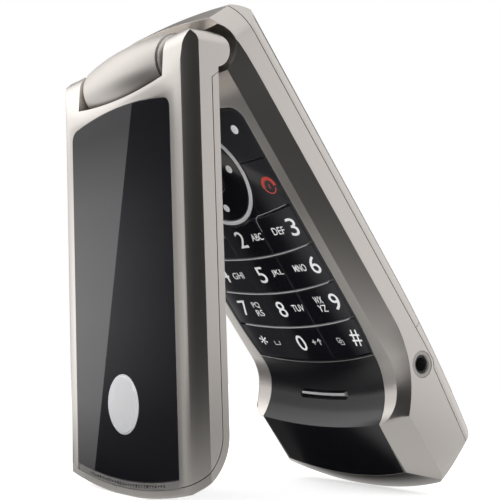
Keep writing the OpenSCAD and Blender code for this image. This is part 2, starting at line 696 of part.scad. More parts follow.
// Height of the back at a distance v from the hinge axis
function back_h(v) = -back_face
    + (v < tail_start ? 0 : tail_arc - sqrt(pow(tail_arc, 2) - pow(v - tail_start, 2)));
module base_plan_2d(d) {
    x0 = half_w - end_corner;
    y0 = top_reach - end_corner;
    x1 = half_w - tip_corner;
    y1 = tip_c - sqrt(pow(tip_r - tip_corner, 2) - pow(x1, 2));
    turn = asin(x1 / (tip_r - tip_corner));
    intersection() {
        translate([0, top_reach - end_bow]) circle(r = end_bow - d, $fn = DISC);
        polygon(concat(arc_pts([x0, y0], end_corner - d, 0, 90), arc_pts([-x0, y0], end_corner - d, 90, 180),
            arc_pts([-x1, y1], tip_corner - d, 180, 270 - turn), [[0, tip_c - tip_r / cos(turn)]],
            arc_pts([x1, y1], tip_corner - d, 270 + turn, 360)));
    }
}
module base_form(d) intersection() {
    linear_extrude(FAR, center = true) base_plan_2d(d);
    across(FAR) base_profile_2d(d);
    base_back(d);
    chin_disc(d);
}
// Everything above the keypad face, the scoop and the chin's front, sunk by d
module above_face(d) end_disc(arc_c) {
    r = scoop_r + d;
    z1 = lid_face - d;
    a1 = asin((z1 - nose_z) / r);
    polygon(concat([[0, -key_face - d]],
        [for (i = [0 : 14]) let (a = -90 + (a1 + 90) * i / 14)
            [scoop_rho + r * cos(a), nose_z + r * sin(a)]],
        [[FAR * 1.5, z1], [FAR * 1.5, FAR], [0, FAR]]));
}
// Height of the face at (x, y), and of the side ridge at y
function face_h(x, y) = let (rho = norm([x, arc_c - y]), out = rho - scoop_rho)
    out < 0 ? -key_face
    : out >= sqrt(pow(scoop_r, 2) - pow(nose_z - lid_face, 2)) ? lid_face
    : nose_z - sqrt(pow(scoop_r, 2) - pow(out, 2));
function ridge_h(y) = let (v = -y)
    v < 8 ? -ridge_z + 1.3 * pow((8 - max(v, -4)) / 12, 2)
    : v < climb_y ? -ridge_z
    : v < climb_top ? climb_r - ridge_z - sqrt(pow(climb_r, 2) - pow(v - climb_y, 2))
    : chin_ridge;
// The land beside the keypad pinches out to the edge of the chin cover at the crest
crest_rho = end_r + scoop_gap;
land_end = sqrt(pow(crest_rho, 2) - pow(chin_w / 2, 2)) - arc_c;
land_start = land_end - land_pinch;
function land_x(y) = let (v = -y, t = max(0, min(1, (v - land_start) / land_pinch)))
    chin_w / 2 + (keypad_w / 2 + land_w - chin_w / 2) * sqrt(1 - t * t);
// Where the scoop has turned by an angle, along the middle of the land
function scoop_y(a) = arc_c - sqrt(pow(scoop_rho + scoop_r * sin(a), 2) - pow((keypad_w + land_w) / 2, 2));
module side_chamfer() {
    crest_a = asin((crest_rho - scoop_rho) / scoop_r);
    ys = concat([8], [for (v = [-4 : 4 : 8]) -v], [-40], [for (v = [climb_y : 1.5 : -scoop_y(4) - 1]) -v],
        [for (a = [4 : 4 : 44]) scoop_y(a)], [for (a = [46 : 2 : crest_a]) scoop_y(a)],
        [for (t = [0.08, 0.04, 0.015, 0]) -land_end + t * land_pinch],
        [-land_end - 1.5, -land_end - 3, -FAR]);
    n = len(ys);
    // Each section steps across the chamfer and then closes above it
    steps = 6;
    m = steps + 3;
    out = 1;
    pts = [for (y = ys) let (x = land_x(y), z = face_h(x, y), zr = ridge_h(y),
            run = half_w + out - x, slope = (zr - z) / (half_w - x)) each
        concat([for (i = [0 : steps]) [x + run * i / steps, y, z + slope * run * i / steps]],
            [[half_w + out, y, 10], [x, y, 10]])];
    tris = [for (i = [0 : n - 2], j = [0 : m - 1]) let (k = (j + 1) % m, a = m * i, b = a + m) each
        [[a + j, b + j, b + k], [a + j, b + k, a + k]]];
    cap = [for (j = [0 : m - 1]) j];
    polyhedron(points = pts, faces = concat([cap], [[for (j = cap) m * n - 1 - j]], tris), convexity = 4);
}
// Everything under the seam, which steps up past the jack and then climbs to the chin
module below_seam(g) across(FAR) {
    step_z = g - seam_z + 0.85;
    end_z = g + chin_ridge - 7.6;
    polygon([[FAR, -FAR], [FAR, g - seam_z], [-jack_y - 1, g - seam_z], [-jack_y - 2.5, step_z],
        [-tail_len - 8, end_z], [-tail_len - 8, -FAR]]);
}
module base_outer() difference() {
    base_form(0);
    above_face(0);
    mirrored() side_chamfer();
    // Cradle behind the ears, open above its rim
    rod(cradle_r, -FAR, FAR);
    box(-FAR, FAR, 0, FAR, -rim_z, FAR);
    knuckle_form(fit_gap, run_gap);
}
screw_spots_base = [[17.2, -4.4], [17.8, -80]];
tab_t = 0.8;
screw_seat = 0.9;
screw_len = [3.4, 7];
back_at_screw = back_h(-screw_spots_base[1][1]);

module base_front_housing() color(SILVER) on_base() difference() {
    base_outer();
    below_seam(seam_gap);
    // Room for the works, under the keypad and inside the chin
    box(-half_w + 3, half_w - 3, -split_y, room_y, -seam_z - 1, cap_floor - wall);
    box(-half_w + wall, half_w - wall, -split_y - 2, room_y, -seam_z - 1, -ridge_z - 0.9);
    intersection() {
        box(-19, 19, -FAR, -split_y + 1, -seam_z - 1, FAR);
        difference() {
            base_form(wall);
            above_face(chin_t + wall);
            mirrored() translate([screw_spots_base[1][0], screw_spots_base[1][1], -seam_z])
                cylinder(r = screw_head_r + 0.7, h = FAR);
        }
    }
    // Openings for the keys and the seats of the keypad and the chin cover
    translate([0, 0, -key_face - key_t - fit_gap]) linear_extrude(FAR) keypad_2d(0);
    translate([0, 0, -FAR / 2]) linear_extrude(FAR / 2) keypad_2d(key_ledge);
    intersection() {
        linear_extrude(FAR, center = true) chin_plate_2d(-fit_gap);
        above_face(chin_t);
    }
    jack_hole(fit_gap);
    usb_hole(fit_gap);
    volume_pocket();
    mic_slot(mic_foot, 6);
    mirrored() for (i = [0, 1]) translate([screw_spots_base[i][0], screw_spots_base[i][1], -seam_z - 1])
        cylinder(r = screw_r + fit_gap, h = screw_len[i] + i);
}
module chin_plate_2d(d) difference() {
    start = sqrt(pow(keypad_rho, 2) - pow(keypad_w / 2, 2)) - arc_c;
    start_x = keypad_w / 2 - waist_x(start);
    bowed = [for (i = [0 : 10]) let (t = i / 10, x = start_x + (chin_w / 2 - start_x) * t)
        [x - 4 * chin_bow * t * (1 - t) - d, -start - (land_end - start) * t]];
    right = concat([[start_x - d, -FAR / 2]], bowed,
        [[chin_tip_w / 2 - d, tip_c - chin_front_rho], [chin_tip_w / 2 - d, -FAR]]);
    intersection() {
        translate([0, tip_c]) circle(r = chin_front_rho - 0.1 - d, $fn = DISC);
        polygon(concat(right, [for (i = [len(right) - 1 : -1 : 0]) [-right[i][0], right[i][1]]]));
    }
    translate([0, arc_c]) circle(r = keypad_rho + 0.1, $fn = DISC);
}
mic_rho = scoop_rho + mic_up;
// The bar sits a little to the left in its slot, on a foot wider than the slot by mic_foot all round
mic_shift = 0.4;
mic_foot = 0.5;
// Curved groove of a length and width about the middle x, with round ends, from -depth up
module mic_groove(x, len, w, depth) translate([0, arc_c, -depth]) linear_extrude(depth + 4) {
    x0 = x - (len - w) / 2;
    x1 = x + (len - w) / 2;
    intersection() {
        difference() {
            circle(r = mic_rho + w / 2, $fn = DISC);
            circle(r = mic_rho - w / 2, $fn = DISC);
        }
        translate([x0, -FAR]) square([x1 - x0, FAR]);
    }
    for (end = [x0, x1]) translate([end, -sqrt(pow(mic_rho, 2) - pow(end, 2))]) circle(r = w / 2, $fn = 24);
}
module mic_slot(g, depth) mic_groove(-mic_left, mic_len + 2 * g, mic_w + 2 * g, depth);
module chin_cover() color(GLOSS) on_base() difference() {
    intersection() {
        linear_extrude(FAR, center = true) chin_plate_2d(fit_gap);
        above_face(chin_t - fit_gap);
        chin_disc(0);
    }
    above_face(0);
    mic_slot(0, FAR);
    mirrored() side_chamfer();
}
module mic_bar() color("#dcdcde") on_base() {
    intersection() {
        mic_groove(-mic_left - mic_shift, mic_bar_len, mic_bar_w, 6);
        difference() { above_face(chin_t + 0.4); above_face(0.12); }
    }
    intersection() {
        mic_slot(mic_foot - fit_gap, 6);
        difference() { above_face(chin_t + 0.4); above_face(chin_t); }
    }
}

// ---------- keypad ----------

function row_y(i) = row_top + i * row_pitch;
// Band between the curved lines i and i + 1, less half a groove at each side
module row_band(i, g) difference() {
    translate([0, row_r - row_y(i + 1)]) circle(r = row_r - g, $fn = DISC);
    translate([0, row_r - row_y(i)]) circle(r = row_r + g, $fn = DISC);
}
module column_band(c, g) {
    w = column_w;
    x0 = c == 0 ? -w / 2 + g : c < 0 ? -FAR / 2 : w / 2 + g;
    x1 = c == 0 ? w / 2 - g : c < 0 ? -w / 2 - g : FAR / 2;
    translate([x0, -FAR]) square([x1 - x0, FAR]);
}
module nav_circle(r) translate([0, -nav_y]) circle(r = r, $fn = 96);
module field_2d(g) intersection() {
    b = key_border + g;
    arched_2d(keypad_w / 2 - b, keypad_top + b, keypad_corner - key_border, key_rho - g);
    waist_2d(b);
}
module number_2d(c, r, g, s) difference() {
    intersection() {
        field_2d(g);
        row_band(r, g);
        column_band(c, s);
    }
    nav_circle(nav_d / 2 + 0.3 + g);
}
module soft_2d(g) difference() {
    intersection() {
        field_2d(g);
        translate([soft_x, -soft_y + g]) square([FAR, FAR]);
    }
    nav_circle(nav_d / 2 + 0.3 + g);
}
module call_2d(g) difference() {
    intersection() {
        field_2d(g);
        translate([0, row_r - row_top]) circle(r = row_r - g, $fn = DISC);
        translate([soft_x, -soft_y - g - FAR]) square([FAR, FAR]);
    }
    nav_circle(nav_d / 2 + 0.3 + g);
}
module cap() color(GLOSS) on_base() translate([0, 0, cap_floor]) linear_extrude(key_t) children();
module number_key(c, r) cap() number_2d(c, r, row_groove / 2, key_slit / 2);
module key_1() number_key(-1, 0);
module key_2() number_key(0, 0);
module key_3() number_key(1, 0);
module key_4() number_key(-1, 1);
module key_5() number_key(0, 1);
module key_6() number_key(1, 1);
module key_7() number_key(-1, 2);
module key_8() number_key(0, 2);
module key_9() number_key(1, 2);
module key_star() number_key(-1, 3);
module key_0() number_key(0, 3);
module key_hash() number_key(1, 3);
module soft_key_right() cap() soft_2d(key_slit / 2);
module soft_key_left() cap() mirror([1, 0]) soft_2d(key_slit / 2);
module end_key() cap() call_2d(key_slit / 2);
module send_key() cap() mirror([1, 0]) call_2d(key_slit / 2);
module nav_disc() cap() difference() {
    nav_circle(nav_d / 2 - nav_ring_w - key_slit);
    nav_circle(select_d / 2 + key_slit);
}
module select_key() cap() nav_circle(select_d / 2 - key_slit / 2);
module key_frame() color(GLOSS) on_base() translate([0, 0, cap_floor]) linear_extrude(key_t) difference() {
    keypad_2d(fit_gap);
    for (c = [-1 : 1], r = [0 : 3]) number_2d(c, r, 0, c == 0 ? 0 : -EPS);
    for (m = [0, 1]) mirror([m, 0]) { soft_2d(0); translate([0, EPS]) call_2d(0); }
    nav_circle(nav_d / 2 + fit_gap);
}
module nav_ring() color("#b9b9bb") on_base() translate([0, 0, cap_floor])
    linear_extrude(key_t + 0.15) difference() {
        nav_circle(nav_d / 2);
        nav_circle(nav_d / 2 - nav_ring_w);
    }
module key_ribs() color("#b9b9bb") on_base() translate([0, 0, membrane_top + fit_gap])
    linear_extrude(-key_face + 0.1 - membrane_top - fit_gap) {
        for (i = [1 : 3]) intersection() {
            rib_arc(i);
            square([keypad_w - 2 * rib_side, 2 * FAR], center = true);
        }
    }
module rib_arc(i) translate([0, row_r - row_y(i)]) difference() {
    circle(r = row_r + rib_w / 2, $fn = DISC);
    circle(r = row_r - rib_w / 2, $fn = DISC);
}
module nav_pivot() color("#4a4a4e") on_base() translate([0, -nav_y, membrane_top - membrane_t + 0.1])
    difference() {
        cylinder(r = select_d / 2 + 2.4, h = cap_floor - membrane_top + membrane_t - 0.4);
        translate([0, 0, -1]) cylinder(r = select_d / 2 + 0.6, h = 4);
    }
module keypad_membrane() color("#c9c6bd") on_base() translate([0, 0, membrane_top - membrane_t])
    linear_extrude(membrane_t) difference() {
        keypad_2d(key_ledge + fit_gap);
        nav_circle(select_d / 2 + 2.7);
    }
column_mid = (keypad_w + column_w) / 4;
dome_spots = concat([for (c = [-1 : 1], r = [0 : 3]) [c * column_mid, -row_y(r) - row_pitch / 2]],
    [for (s = [-1, 1]) each [[s * 14.3, -14.8], [s * 15, -26.3]]],
    [for (a = [0 : 90 : 270]) [7 * cos(a), 7 * sin(a) - nav_y]], [[0, -nav_y]]);
module dome_sheet() color("#b7b18f") on_base() translate([0, 0, dome_z - dome_t]) difference() {
    linear_extrude(dome_t) keypad_2d(key_ledge + 0.3);
    for (p = dome_spots) translate([p[0], p[1], -1]) cylinder(r = 2, h = 1.07, $fn = 24);
}

// ---------- inside the base ----------

module main_circuit_board() color("#1d5b34") on_base()
    box(-board_x, board_x, -board_end, room_y - 0.7, board_bottom, board_top);
module shield_can(y0, y1) difference() {
    box(-can_x, can_x, y0, y1, battery_top + tray_t + 0.05, board_bottom - fit_gap);
    box(can_t - can_x, can_x - can_t, y0 + can_t, y1 - can_t, battery_top + tray_t + 0.25, 0);
}
module shield_cans() color("#a9aaad") on_base() {
    shield_can(-can_gap[0] + can_gap[1], -can_start);
    shield_can(-can_end, -can_gap[0] - can_gap[1]);
}
module sim_holder() color("#c4c5c8") on_base() difference() {
    wall_x = 0.7;
    box(sim_x, sim_x + sim_w, -sim_y - sim_len, -sim_y, board_bottom - 1.2, board_bottom - fit_gap);
    box(sim_x + wall_x, sim_x + sim_w - wall_x, 0.6 - sim_y - sim_len, -sim_y - 1.4,
        board_bottom - 0.9, board_bottom + 1);
}
module battery() color("#3d4a5c") on_base()
    box(-battery_w / 2, battery_w / 2, -battery_end, -battery_end + battery_len, battery_floor, battery_top);
module rear_form() difference() {
    intersection() {
        base_form(0);
        below_seam(0);
        box(-FAR, FAR, -FAR, -split_y, -FAR, FAR);
    }
    intersection() {
        base_form(wall);
        box(-FAR, FAR, -FAR, -split_y - wall, -FAR, FAR);
    }
}
module rear_housing() color(SILVER) on_base() difference() {
    tray_x = half_w - 1.7;
    tab_z = -seam_z - tab_t;
    bay_gap = 0.3;
    bay_x = battery_w / 2 + bay_gap;
    bay_end = battery_end + bay_gap;
    union() {
        rear_form();
        // Tray over the battery, with a rim that the battery cover closes on
        box(-tray_x, tray_x, -split_y - EPS, tray_y, battery_top + 0.05, battery_top + tray_t);
        difference() {
            box(-tray_x, tray_x, -split_y - EPS, tray_y, -seam_z, battery_top + tray_t);
            box(-bay_x, bay_x, -bay_end, -bay_end + battery_len + 2 * bay_gap, -FAR, battery_top + 0.05);
        }
        // Screw tabs under the front housing
        mirrored() translate([screw_spots_base[0][0], 0, 0]) {
            box(-3, 3, tray_y - 1, screw_spots_base[0][1] + 2.2, tab_z, -seam_z - fit_gap);
            box(-3, 3, tray_y - 1, tray_y, tab_z, -seam_z + 1);
        }
        mirrored() translate([screw_spots_base[1][0], screw_spots_base[1][1], back_at_screw + 0.3])
            cylinder(r = screw_head_r + 0.6, h = 2);
    }
    mirrored() {
        translate([screw_spots_base[0][0], screw_spots_base[0][1], tab_z - 1])
            cylinder(r = screw_r + fit_gap, h = 4);
        translate([screw_spots_base[1][0], screw_spots_base[1][1], back_at_screw - 1]) {
            cylinder(r = screw_r + fit_gap, h = 10);
            cylinder(r = screw_head_r + fit_gap, h = 1 + screw_seat);
        }
    }
    // Slot of the vibration motor and its weight
    translate([motor_x, motor_y, 0])
        box(-weight_len - 1, motor_len + fit_gap, -motor_r - fit_gap, motor_r + fit_gap, -FAR, FAR);
    jack_hole(fit_gap);
    usb_hole(fit_gap);
}
module battery_cover() color(SILVER) on_base() difference() {
    intersection() {
        base_form(0);
        below_seam(0);
        box(-FAR, FAR, -split_y + 0.12, FAR, -FAR, FAR);
    }
    intersection() {
        base_form(cover_t);
        box(-FAR, FAR, -FAR, FAR, -FAR, 0);
    }
    // Finger dimple near the free edge
    translate([0, -split_y + 8, -back_face - 17.6]) sphere(r = 18, $fn = 96);
}
module headset_jack() color("#3a3a3c") on_base() translate([0, -jack_y, -jack_z]) difference() {
    union() {
        rod(jack_d / 2, half_w - 3, half_w - 0.05);
        box(half_w - jack_len - 1, half_w - 2.5, -jack_d / 2, jack_d / 2, -jack_d / 2, jack_d / 2);
    }
    rod(jack_bore / 2, half_w - 0.05 - jack_len, half_w + 1);
    rod(jack_bore / 2 + 0.5, half_w - 0.35, half_w + 1);
}
module jack_hole(g) translate([0, -jack_y, -jack_z]) {
    rod(jack_d / 2 + g, half_w - 3, FAR);
    r = jack_d / 2 + g;
    box(half_w - jack_len - 1.2, half_w - 2.4, -r, r, -r, r);
}
module usb_hole(g) translate([0, -jack_y, -usb_z])
    box(-FAR, -half_w + usb_len + 1, -usb_w / 2 - g, usb_w / 2 + g, -usb_h / 2 - g, usb_h / 2 + g);
module usb_port() color("#a9aaad") on_base() translate([-half_w, -jack_y, -usb_z]) difference() {
    box(0.4, usb_len, -usb_w / 2, usb_w / 2, -usb_h / 2, usb_h / 2);
    box(-1, usb_len - 0.6, -usb_w / 2 + 0.35, usb_w / 2 - 0.35, -usb_h / 2 + 0.35, usb_h / 2 - 0.35);
}
volume_z = -(ridge_z + seam_z) / 2;
module volume_pocket() translate([-half_w, -volume_y, volume_z])
    box(-1, 2.6, -volume_len / 2 - run_gap, volume_len / 2 + run_gap,
        -volume_h / 2 - 0.15, volume_h / 2 + 0.15);
module volume_key() color("#bdb9b4") on_base() translate([-half_w, -volume_y, volume_z]) intersection() {
    box(-volume_out, 1.1, -volume_len / 2, volume_len / 2, -volume_h / 2, volume_h / 2);
    crown_r = 40;
    translate([crown_r - volume_out, 0, 0])
        cylinder(r = crown_r, h = 2 * volume_h, center = true, $fn = DISC);
}
module antenna() color("#2f2f33") on_base() difference() {
    y0 = -land_end - 3.2;
    carrier_x = 15.5;
    carrier_t = 1.2;
    box(-carrier_x, carrier_x, y0 - 9, y0, -5, 2.6);
    box(carrier_t - carrier_x, carrier_x - carrier_t, -FAR, y0 - carrier_t, -FAR, 2.6 - carrier_t);
}
module microphone() color("#9c9da0") on_base() translate([0, arc_c - mic_rho, -5.7])
    cylinder(r = 2, h = 2.2);
weight_len = 4;
motor_x = -9;
motor_y = -11.9;
motor_z = battery_floor + motor_r + 0.1;
module vibration_motor() color("#8c8d90") on_base() translate([motor_x, motor_y, motor_z])
    difference() {
        rod(motor_r, 0, motor_len);
        rod(0.45, -1, 1.2);
    }
module motor_weight() color("#77787b") on_base() translate([motor_x, motor_y, motor_z]) {
    rod(0.35, -weight_len, 0.9);
    intersection() {
        rod(motor_r - 0.2, -weight_len + 0.1, -0.4);
        box(-FAR, FAR, -FAR, FAR, -FAR, 0.2);
    }
}
module base_screws() color("#77777a") on_base() mirrored()
    for (i = [0, 1]) let (z = i == 0 ? -seam_z - tab_t - 0.35 : back_at_screw + screw_seat - 0.35)
    translate([screw_spots_base[i][0], screw_spots_base[i][1], z]) {
        cylinder(r = screw_r, h = screw_len[i]);
        difference() {
            cylinder(r = screw_head_r, h = 0.33);
            translate([0, 0, -1]) cylinder(r = 0.45, h = 1.2, $fn = 6);
        }
    }

lid_front_housing();
front_window();
badge_disc();
speaker_grille();
lid_inner_housing();
display_lens();
display_panel();
backlight_frame();
outer_display();
lid_circuit_board();
earpiece();
loudspeaker();
lid_screws();
lid_bumpers();
hinge_shaft();
hinge_knuckle();
hinge_cartridge();
hinge_spring();
hinge_bush();
base_front_housing();
chin_cover();
mic_bar();
key_frame();
key_ribs();
nav_ring();
nav_pivot();
nav_disc();
select_key();
soft_key_left();
soft_key_right();
send_key();
end_key();
key_1();
key_2();
key_3();
key_4();
key_5();
key_6();
key_7();
key_8();
key_9();
key_star();
key_0();
key_hash();
keypad_membrane();
dome_sheet();
main_circuit_board();
shield_cans();
sim_holder();
battery();
rear_housing();
battery_cover();
headset_jack();
usb_port();
volume_key();
antenna();
microphone();
vibration_motor();
motor_weight();
base_screws();
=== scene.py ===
import json
import math

import bmesh
import bpy
from mathutils import Matrix, Vector

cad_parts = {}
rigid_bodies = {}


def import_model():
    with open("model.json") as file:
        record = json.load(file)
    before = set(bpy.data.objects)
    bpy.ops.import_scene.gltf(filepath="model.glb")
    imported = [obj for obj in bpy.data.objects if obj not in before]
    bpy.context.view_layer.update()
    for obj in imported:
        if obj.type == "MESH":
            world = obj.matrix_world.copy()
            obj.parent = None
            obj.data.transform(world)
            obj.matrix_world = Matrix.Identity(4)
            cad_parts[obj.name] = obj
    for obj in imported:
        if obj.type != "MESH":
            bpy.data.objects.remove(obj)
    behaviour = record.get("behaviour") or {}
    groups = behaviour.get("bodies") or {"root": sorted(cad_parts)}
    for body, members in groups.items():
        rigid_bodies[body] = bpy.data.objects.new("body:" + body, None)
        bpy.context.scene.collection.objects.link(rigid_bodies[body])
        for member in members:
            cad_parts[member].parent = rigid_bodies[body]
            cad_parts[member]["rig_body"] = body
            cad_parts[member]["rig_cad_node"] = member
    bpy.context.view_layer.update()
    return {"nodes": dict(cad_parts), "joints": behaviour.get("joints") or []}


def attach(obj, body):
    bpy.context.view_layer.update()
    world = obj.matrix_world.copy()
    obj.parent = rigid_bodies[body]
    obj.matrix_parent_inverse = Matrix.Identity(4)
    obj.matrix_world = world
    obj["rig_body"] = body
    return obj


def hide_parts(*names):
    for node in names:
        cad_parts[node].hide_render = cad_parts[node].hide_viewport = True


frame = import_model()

# The clamshell phone stands as a tent on the free ends of its two halves. Each half has a lying frame:
# x runs across, y runs up the length to the hinge axis, and z runs out of the keypad or the lid's outer face.
# Places on a half are written as (across, distance from the hinge, height) in millimetres.

MM = 0.001
scene = bpy.context.scene
scene.view_settings.view_transform = "Standard"

# ---------- frames of the two halves ----------

joints = {joint["name"]: joint for joint in frame["joints"]}
HINGE = Vector(joints["flip_hinge"]["pos_m"])
ACROSS = Vector((1, 0, 0))
BASE_UP = Vector(joints["cover_slide"]["axis"]).normalized()
OPEN_ANGLE = math.radians(-joints["flip_hinge"]["range_deg"][0])
LID_UP = Matrix.Rotation(-OPEN_ANGLE, 3, "X") @ BASE_UP


def lying(up):
    """Matrix from the lying frame of a half whose length runs along up to the row frame."""
    axes = Matrix((ACROSS, up, ACROSS.cross(up))).transposed().to_4x4()
    return Matrix.Translation(HINGE) @ axes


BASE = lying(BASE_UP)
LID = lying(LID_UP)


def spot(across, along, height):
    """A place on a half, given in millimetres, in its lying frame in metres."""
    return Vector((across, -along, height)) * MM


def reach(node, half):
    """Lowest and highest (across, along, height) of a CAD node on its half, in millimetres."""
    back = half.inverted()
    points = [back @ vertex.co / MM for vertex in frame["nodes"][node].data.vertices]
    points = [(p.x, -p.y, p.z) for p in points]
    return [min(axis) for axis in zip(*points)], [max(axis) for axis in zip(*points)]


KEY_TOP = reach("key_5", BASE)[1][2]
LID_TOP = reach("front_window", LID)[1][2]

# ---------- camera ----------

LENS = 72.18
SENSOR = 36
# Place and directions of the camera in a frame at the hinge with the lid upright
UPRIGHT_EYE = Vector((153.3, -91.08, -46.46)) * MM
UPRIGHT_RIGHT = Vector((0.5947, 0.8033, -0.0332))
UPRIGHT_AHEAD = Vector((-0.7992, 0.5952, 0.0835))


def add_camera():
    """The camera, placed and turned from the hinge and the lid."""
    lean = LID.to_3x3() @ Matrix.Rotation(math.radians(-90), 3, "X")
    ahead = (lean @ UPRIGHT_AHEAD).normalized()
    right = lean @ UPRIGHT_RIGHT
    right = (right - ahead * right.dot(ahead)).normalized()
    turn = Matrix((right, right.cross(ahead), -ahead)).transposed()
    data = bpy.data.cameras.new("camera")
    data.lens = LENS
    data.sensor_width = SENSOR
    data.clip_start = 0.01
    data.clip_end = 20
    camera = bpy.data.objects.new("camera", data)
    scene.collection.objects.link(camera)
    camera.matrix_world = Matrix.Translation(HINGE + lean @ UPRIGHT_EYE) @ turn.to_4x4()
    scene.camera = camera
    return camera


camera = add_camera()

# ---------- shader maths ----------


class Value:
    """A socket of a shader. Its operators add Math nodes."""

    def __init__(self, shader, socket):
        self.shader = shader
        self.socket = socket

    def math(self, operation, *values, clamp=False):
        settings = {"operation": operation, "use_clamp": clamp}
        return self.shader.node("Math", settings, dict(enumerate(values)))

    def __add__(self, other):
        return self.math("ADD", self, other)

    def __sub__(self, other):
        return self.math("SUBTRACT", self, other)

    def __rsub__(self, other):
        return self.math("SUBTRACT", other, self)

    def __mul__(self, other):
        return self.math("MULTIPLY", self, other)

    def __truediv__(self, other):
        return self.math("DIVIDE", self, other)

    def __pow__(self, other):
        return self.math("POWER", self, other)

    def __abs__(self):
        return self.math("ABSOLUTE", self)

    __radd__ = __add__
    __rmul__ = __mul__

    def above(self, edge, blur):
        """1 where the value is over edge and 0 where it is under, with a soft step as wide as blur."""
        return self.math("ADD", (self - edge) / blur, 0.5, clamp=True)

    def between(self, low, high, low_blur, high_blur):
        """1 where the value is between low and high, with a soft step of its own width at each."""
        return self.above(low, low_blur) * (high - self).above(0, high_blur)

    def waves(self, pitch):
        """A sine wave of the value, one wave to a pitch."""
        turns = self * (2 * math.pi / pitch)
        return turns.math("SINE", turns)


class Shader:
    """A tree of nodes, each of which is made by node()."""

    def __init__(self, tree):
        self.tree = tree

    def feed(self, node, sockets):
        for key, value in sockets.items():
            if isinstance(value, Value):
                self.tree.links.new(value.socket, node.inputs[key])
            elif value is not None:
                node.inputs[key].default_value = value

    def node(self, kind, settings, sockets, out=0):
        made = self.tree.nodes.new("ShaderNode" + kind)
        for key, value in settings.items():
            if key == "stops":
                ramp = made.color_ramp
                for _ in range(len(value) - 2):
                    ramp.elements.new(0.5)
                for element, (place, colour) in zip(ramp.elements, value):
                    element.position = place
                    element.color = (*colour, 1)
            else:
                setattr(made, key, value)
        self.feed(made, sockets)
        return Value(self, made.outputs[out])

    def seeing_rays(self):
        """1 for the rays that show a thing, and 0 for those that only carry its light."""
        seen, *others = [self.node("LightPath", {}, {}, out="Is %s Ray" % kind)
            for kind in ("Camera", "Glossy", "Transmission")]
        for ray in others:
            seen = seen.math("MAXIMUM", seen, ray)
        return seen


BEVEL_SAMPLES = 6


class Finish(Shader):
    """One material, for a slot of the record."""

    def __init__(self, name, slot, plain=None):
        self.slot = slot
        self.material = bpy.data.materials.new(name)
        self.material.use_nodes = True
        super().__init__(self.material.node_tree)
        self.surface = self.tree.nodes["Principled BSDF"]
        self.set(plain or {})

    def set(self, sockets):
        """Sets or links sockets of the surface itself."""
        self.feed(self.surface, sockets)

    def place(self, half, centre=(0, 0, 0)):
        """The surface's place on a half, in millimetres about a centre, as an x, y and z value."""
        back = half.inverted()
        spin = back.to_euler()
        where = self.node("TexCoord", {}, {}, out="Object")
        shift = back.to_translation() / MM - Vector((centre[0], -centre[1], centre[2]))
        sockets = {"Vector": where, "Location": shift, "Rotation": spin, "Scale": (1 / MM,) * 3}
        return self.node("Mapping", {"vector_type": "POINT"}, sockets)

    def split(self, vector):
        """The x, y and z values of a vector."""
        return [self.node("SeparateXYZ", {}, {0: vector}, out=axis) for axis in range(3)]

    def noise(self, scale, detail):
        """Cloudy noise from 0 to 1, with scale clouds to the metre."""
        where = self.node("TexCoord", {}, {}, out="Object")
        return self.node("TexNoise", {}, {"Vector": where, "Scale": scale, "Detail": detail})

    def mix(self, share, first, second):
        """A colour between two colours."""
        first, second = [c if isinstance(c, Value) else (*c, 1) for c in (first, second)]
        sockets = {0: share, 6: first, 7: second}
        return self.node("Mix", {"data_type": "RGBA"}, sockets, out=2)

    def dimmed(self, colour, shade):
        """A colour multiplied by another."""
        settings = {"data_type": "RGBA", "blend_type": "MULTIPLY"}
        return self.node("Mix", settings, {0: 1.0, 6: colour, 7: shade}, out=2)

    def rounded(self, radius):
        """The normal of the surface as if its edges had that radius, in millimetres."""
        return self.node("Bevel", {"samples": BEVEL_SAMPLES}, {"Radius": radius * MM})

    def bump(self, height, depth, strength, normal=None):
        """A normal from a height value that is worth depth in millimetres."""
        sockets = {"Height": height, "Distance": depth * MM, "Strength": strength, "Normal": normal}
        return self.node("Bump", {}, sockets)


# ---------- finishes ----------


def paint(name, rough=0.27):
    """Satin champagne silver lacquer with fine metal flake and a trace of orange peel."""
    finish = Finish(name, "silver_paint", {"Metallic": 1.0})
    flake = finish.noise(16000, 1)
    drift = finish.noise(60, 2)
    peel = finish.noise(900, 1)
    tone = finish.mix(flake.above(0.5, 0.5), (0.575, 0.541, 0.508), (0.645, 0.609, 0.574))
    finish.set({
        "Base Color": tone,
        "Roughness": rough + 0.06 * flake + 0.03 * drift,
        "Normal": finish.bump(peel + 0.4 * flake, 0.0016, 0.6, finish.rounded(0.12)),
    })
    return finish


def gloss_black(name, slot, colour, rough=0.05, ripples=0.5):
    """Deep gloss black moulding with the faint ripple of a moulded face."""
    finish = Finish(name, slot, {"IOR": 1.46})
    ripple = finish.noise(160, 1)
    haze = finish.noise(2500, 2)
    finish.set({
        "Base Color": finish.mix(haze, colour, [1.35 * c for c in colour]),
        "Roughness": rough + 0.3 * rough * haze,
        "Normal": finish.bump(ripple, 0.0012, ripples, finish.rounded(0.1)),
    })
    return finish


def plated(name, slot, colour, rough=0.2, metallic=1.0):
    """Bright plated metal with fine lengthwise drawing lines."""
    finish = Finish(name, slot, {"Metallic": metallic})
    lines = finish.noise(3000, 2)
    finish.set({
        "Base Color": finish.mix(lines, colour, [0.86 * c for c in colour]),
        "Roughness": rough + 0.08 * lines,
        "Normal": finish.bump(lines, 0.0008, 0.4, finish.rounded(0.06)),
    })
    return finish


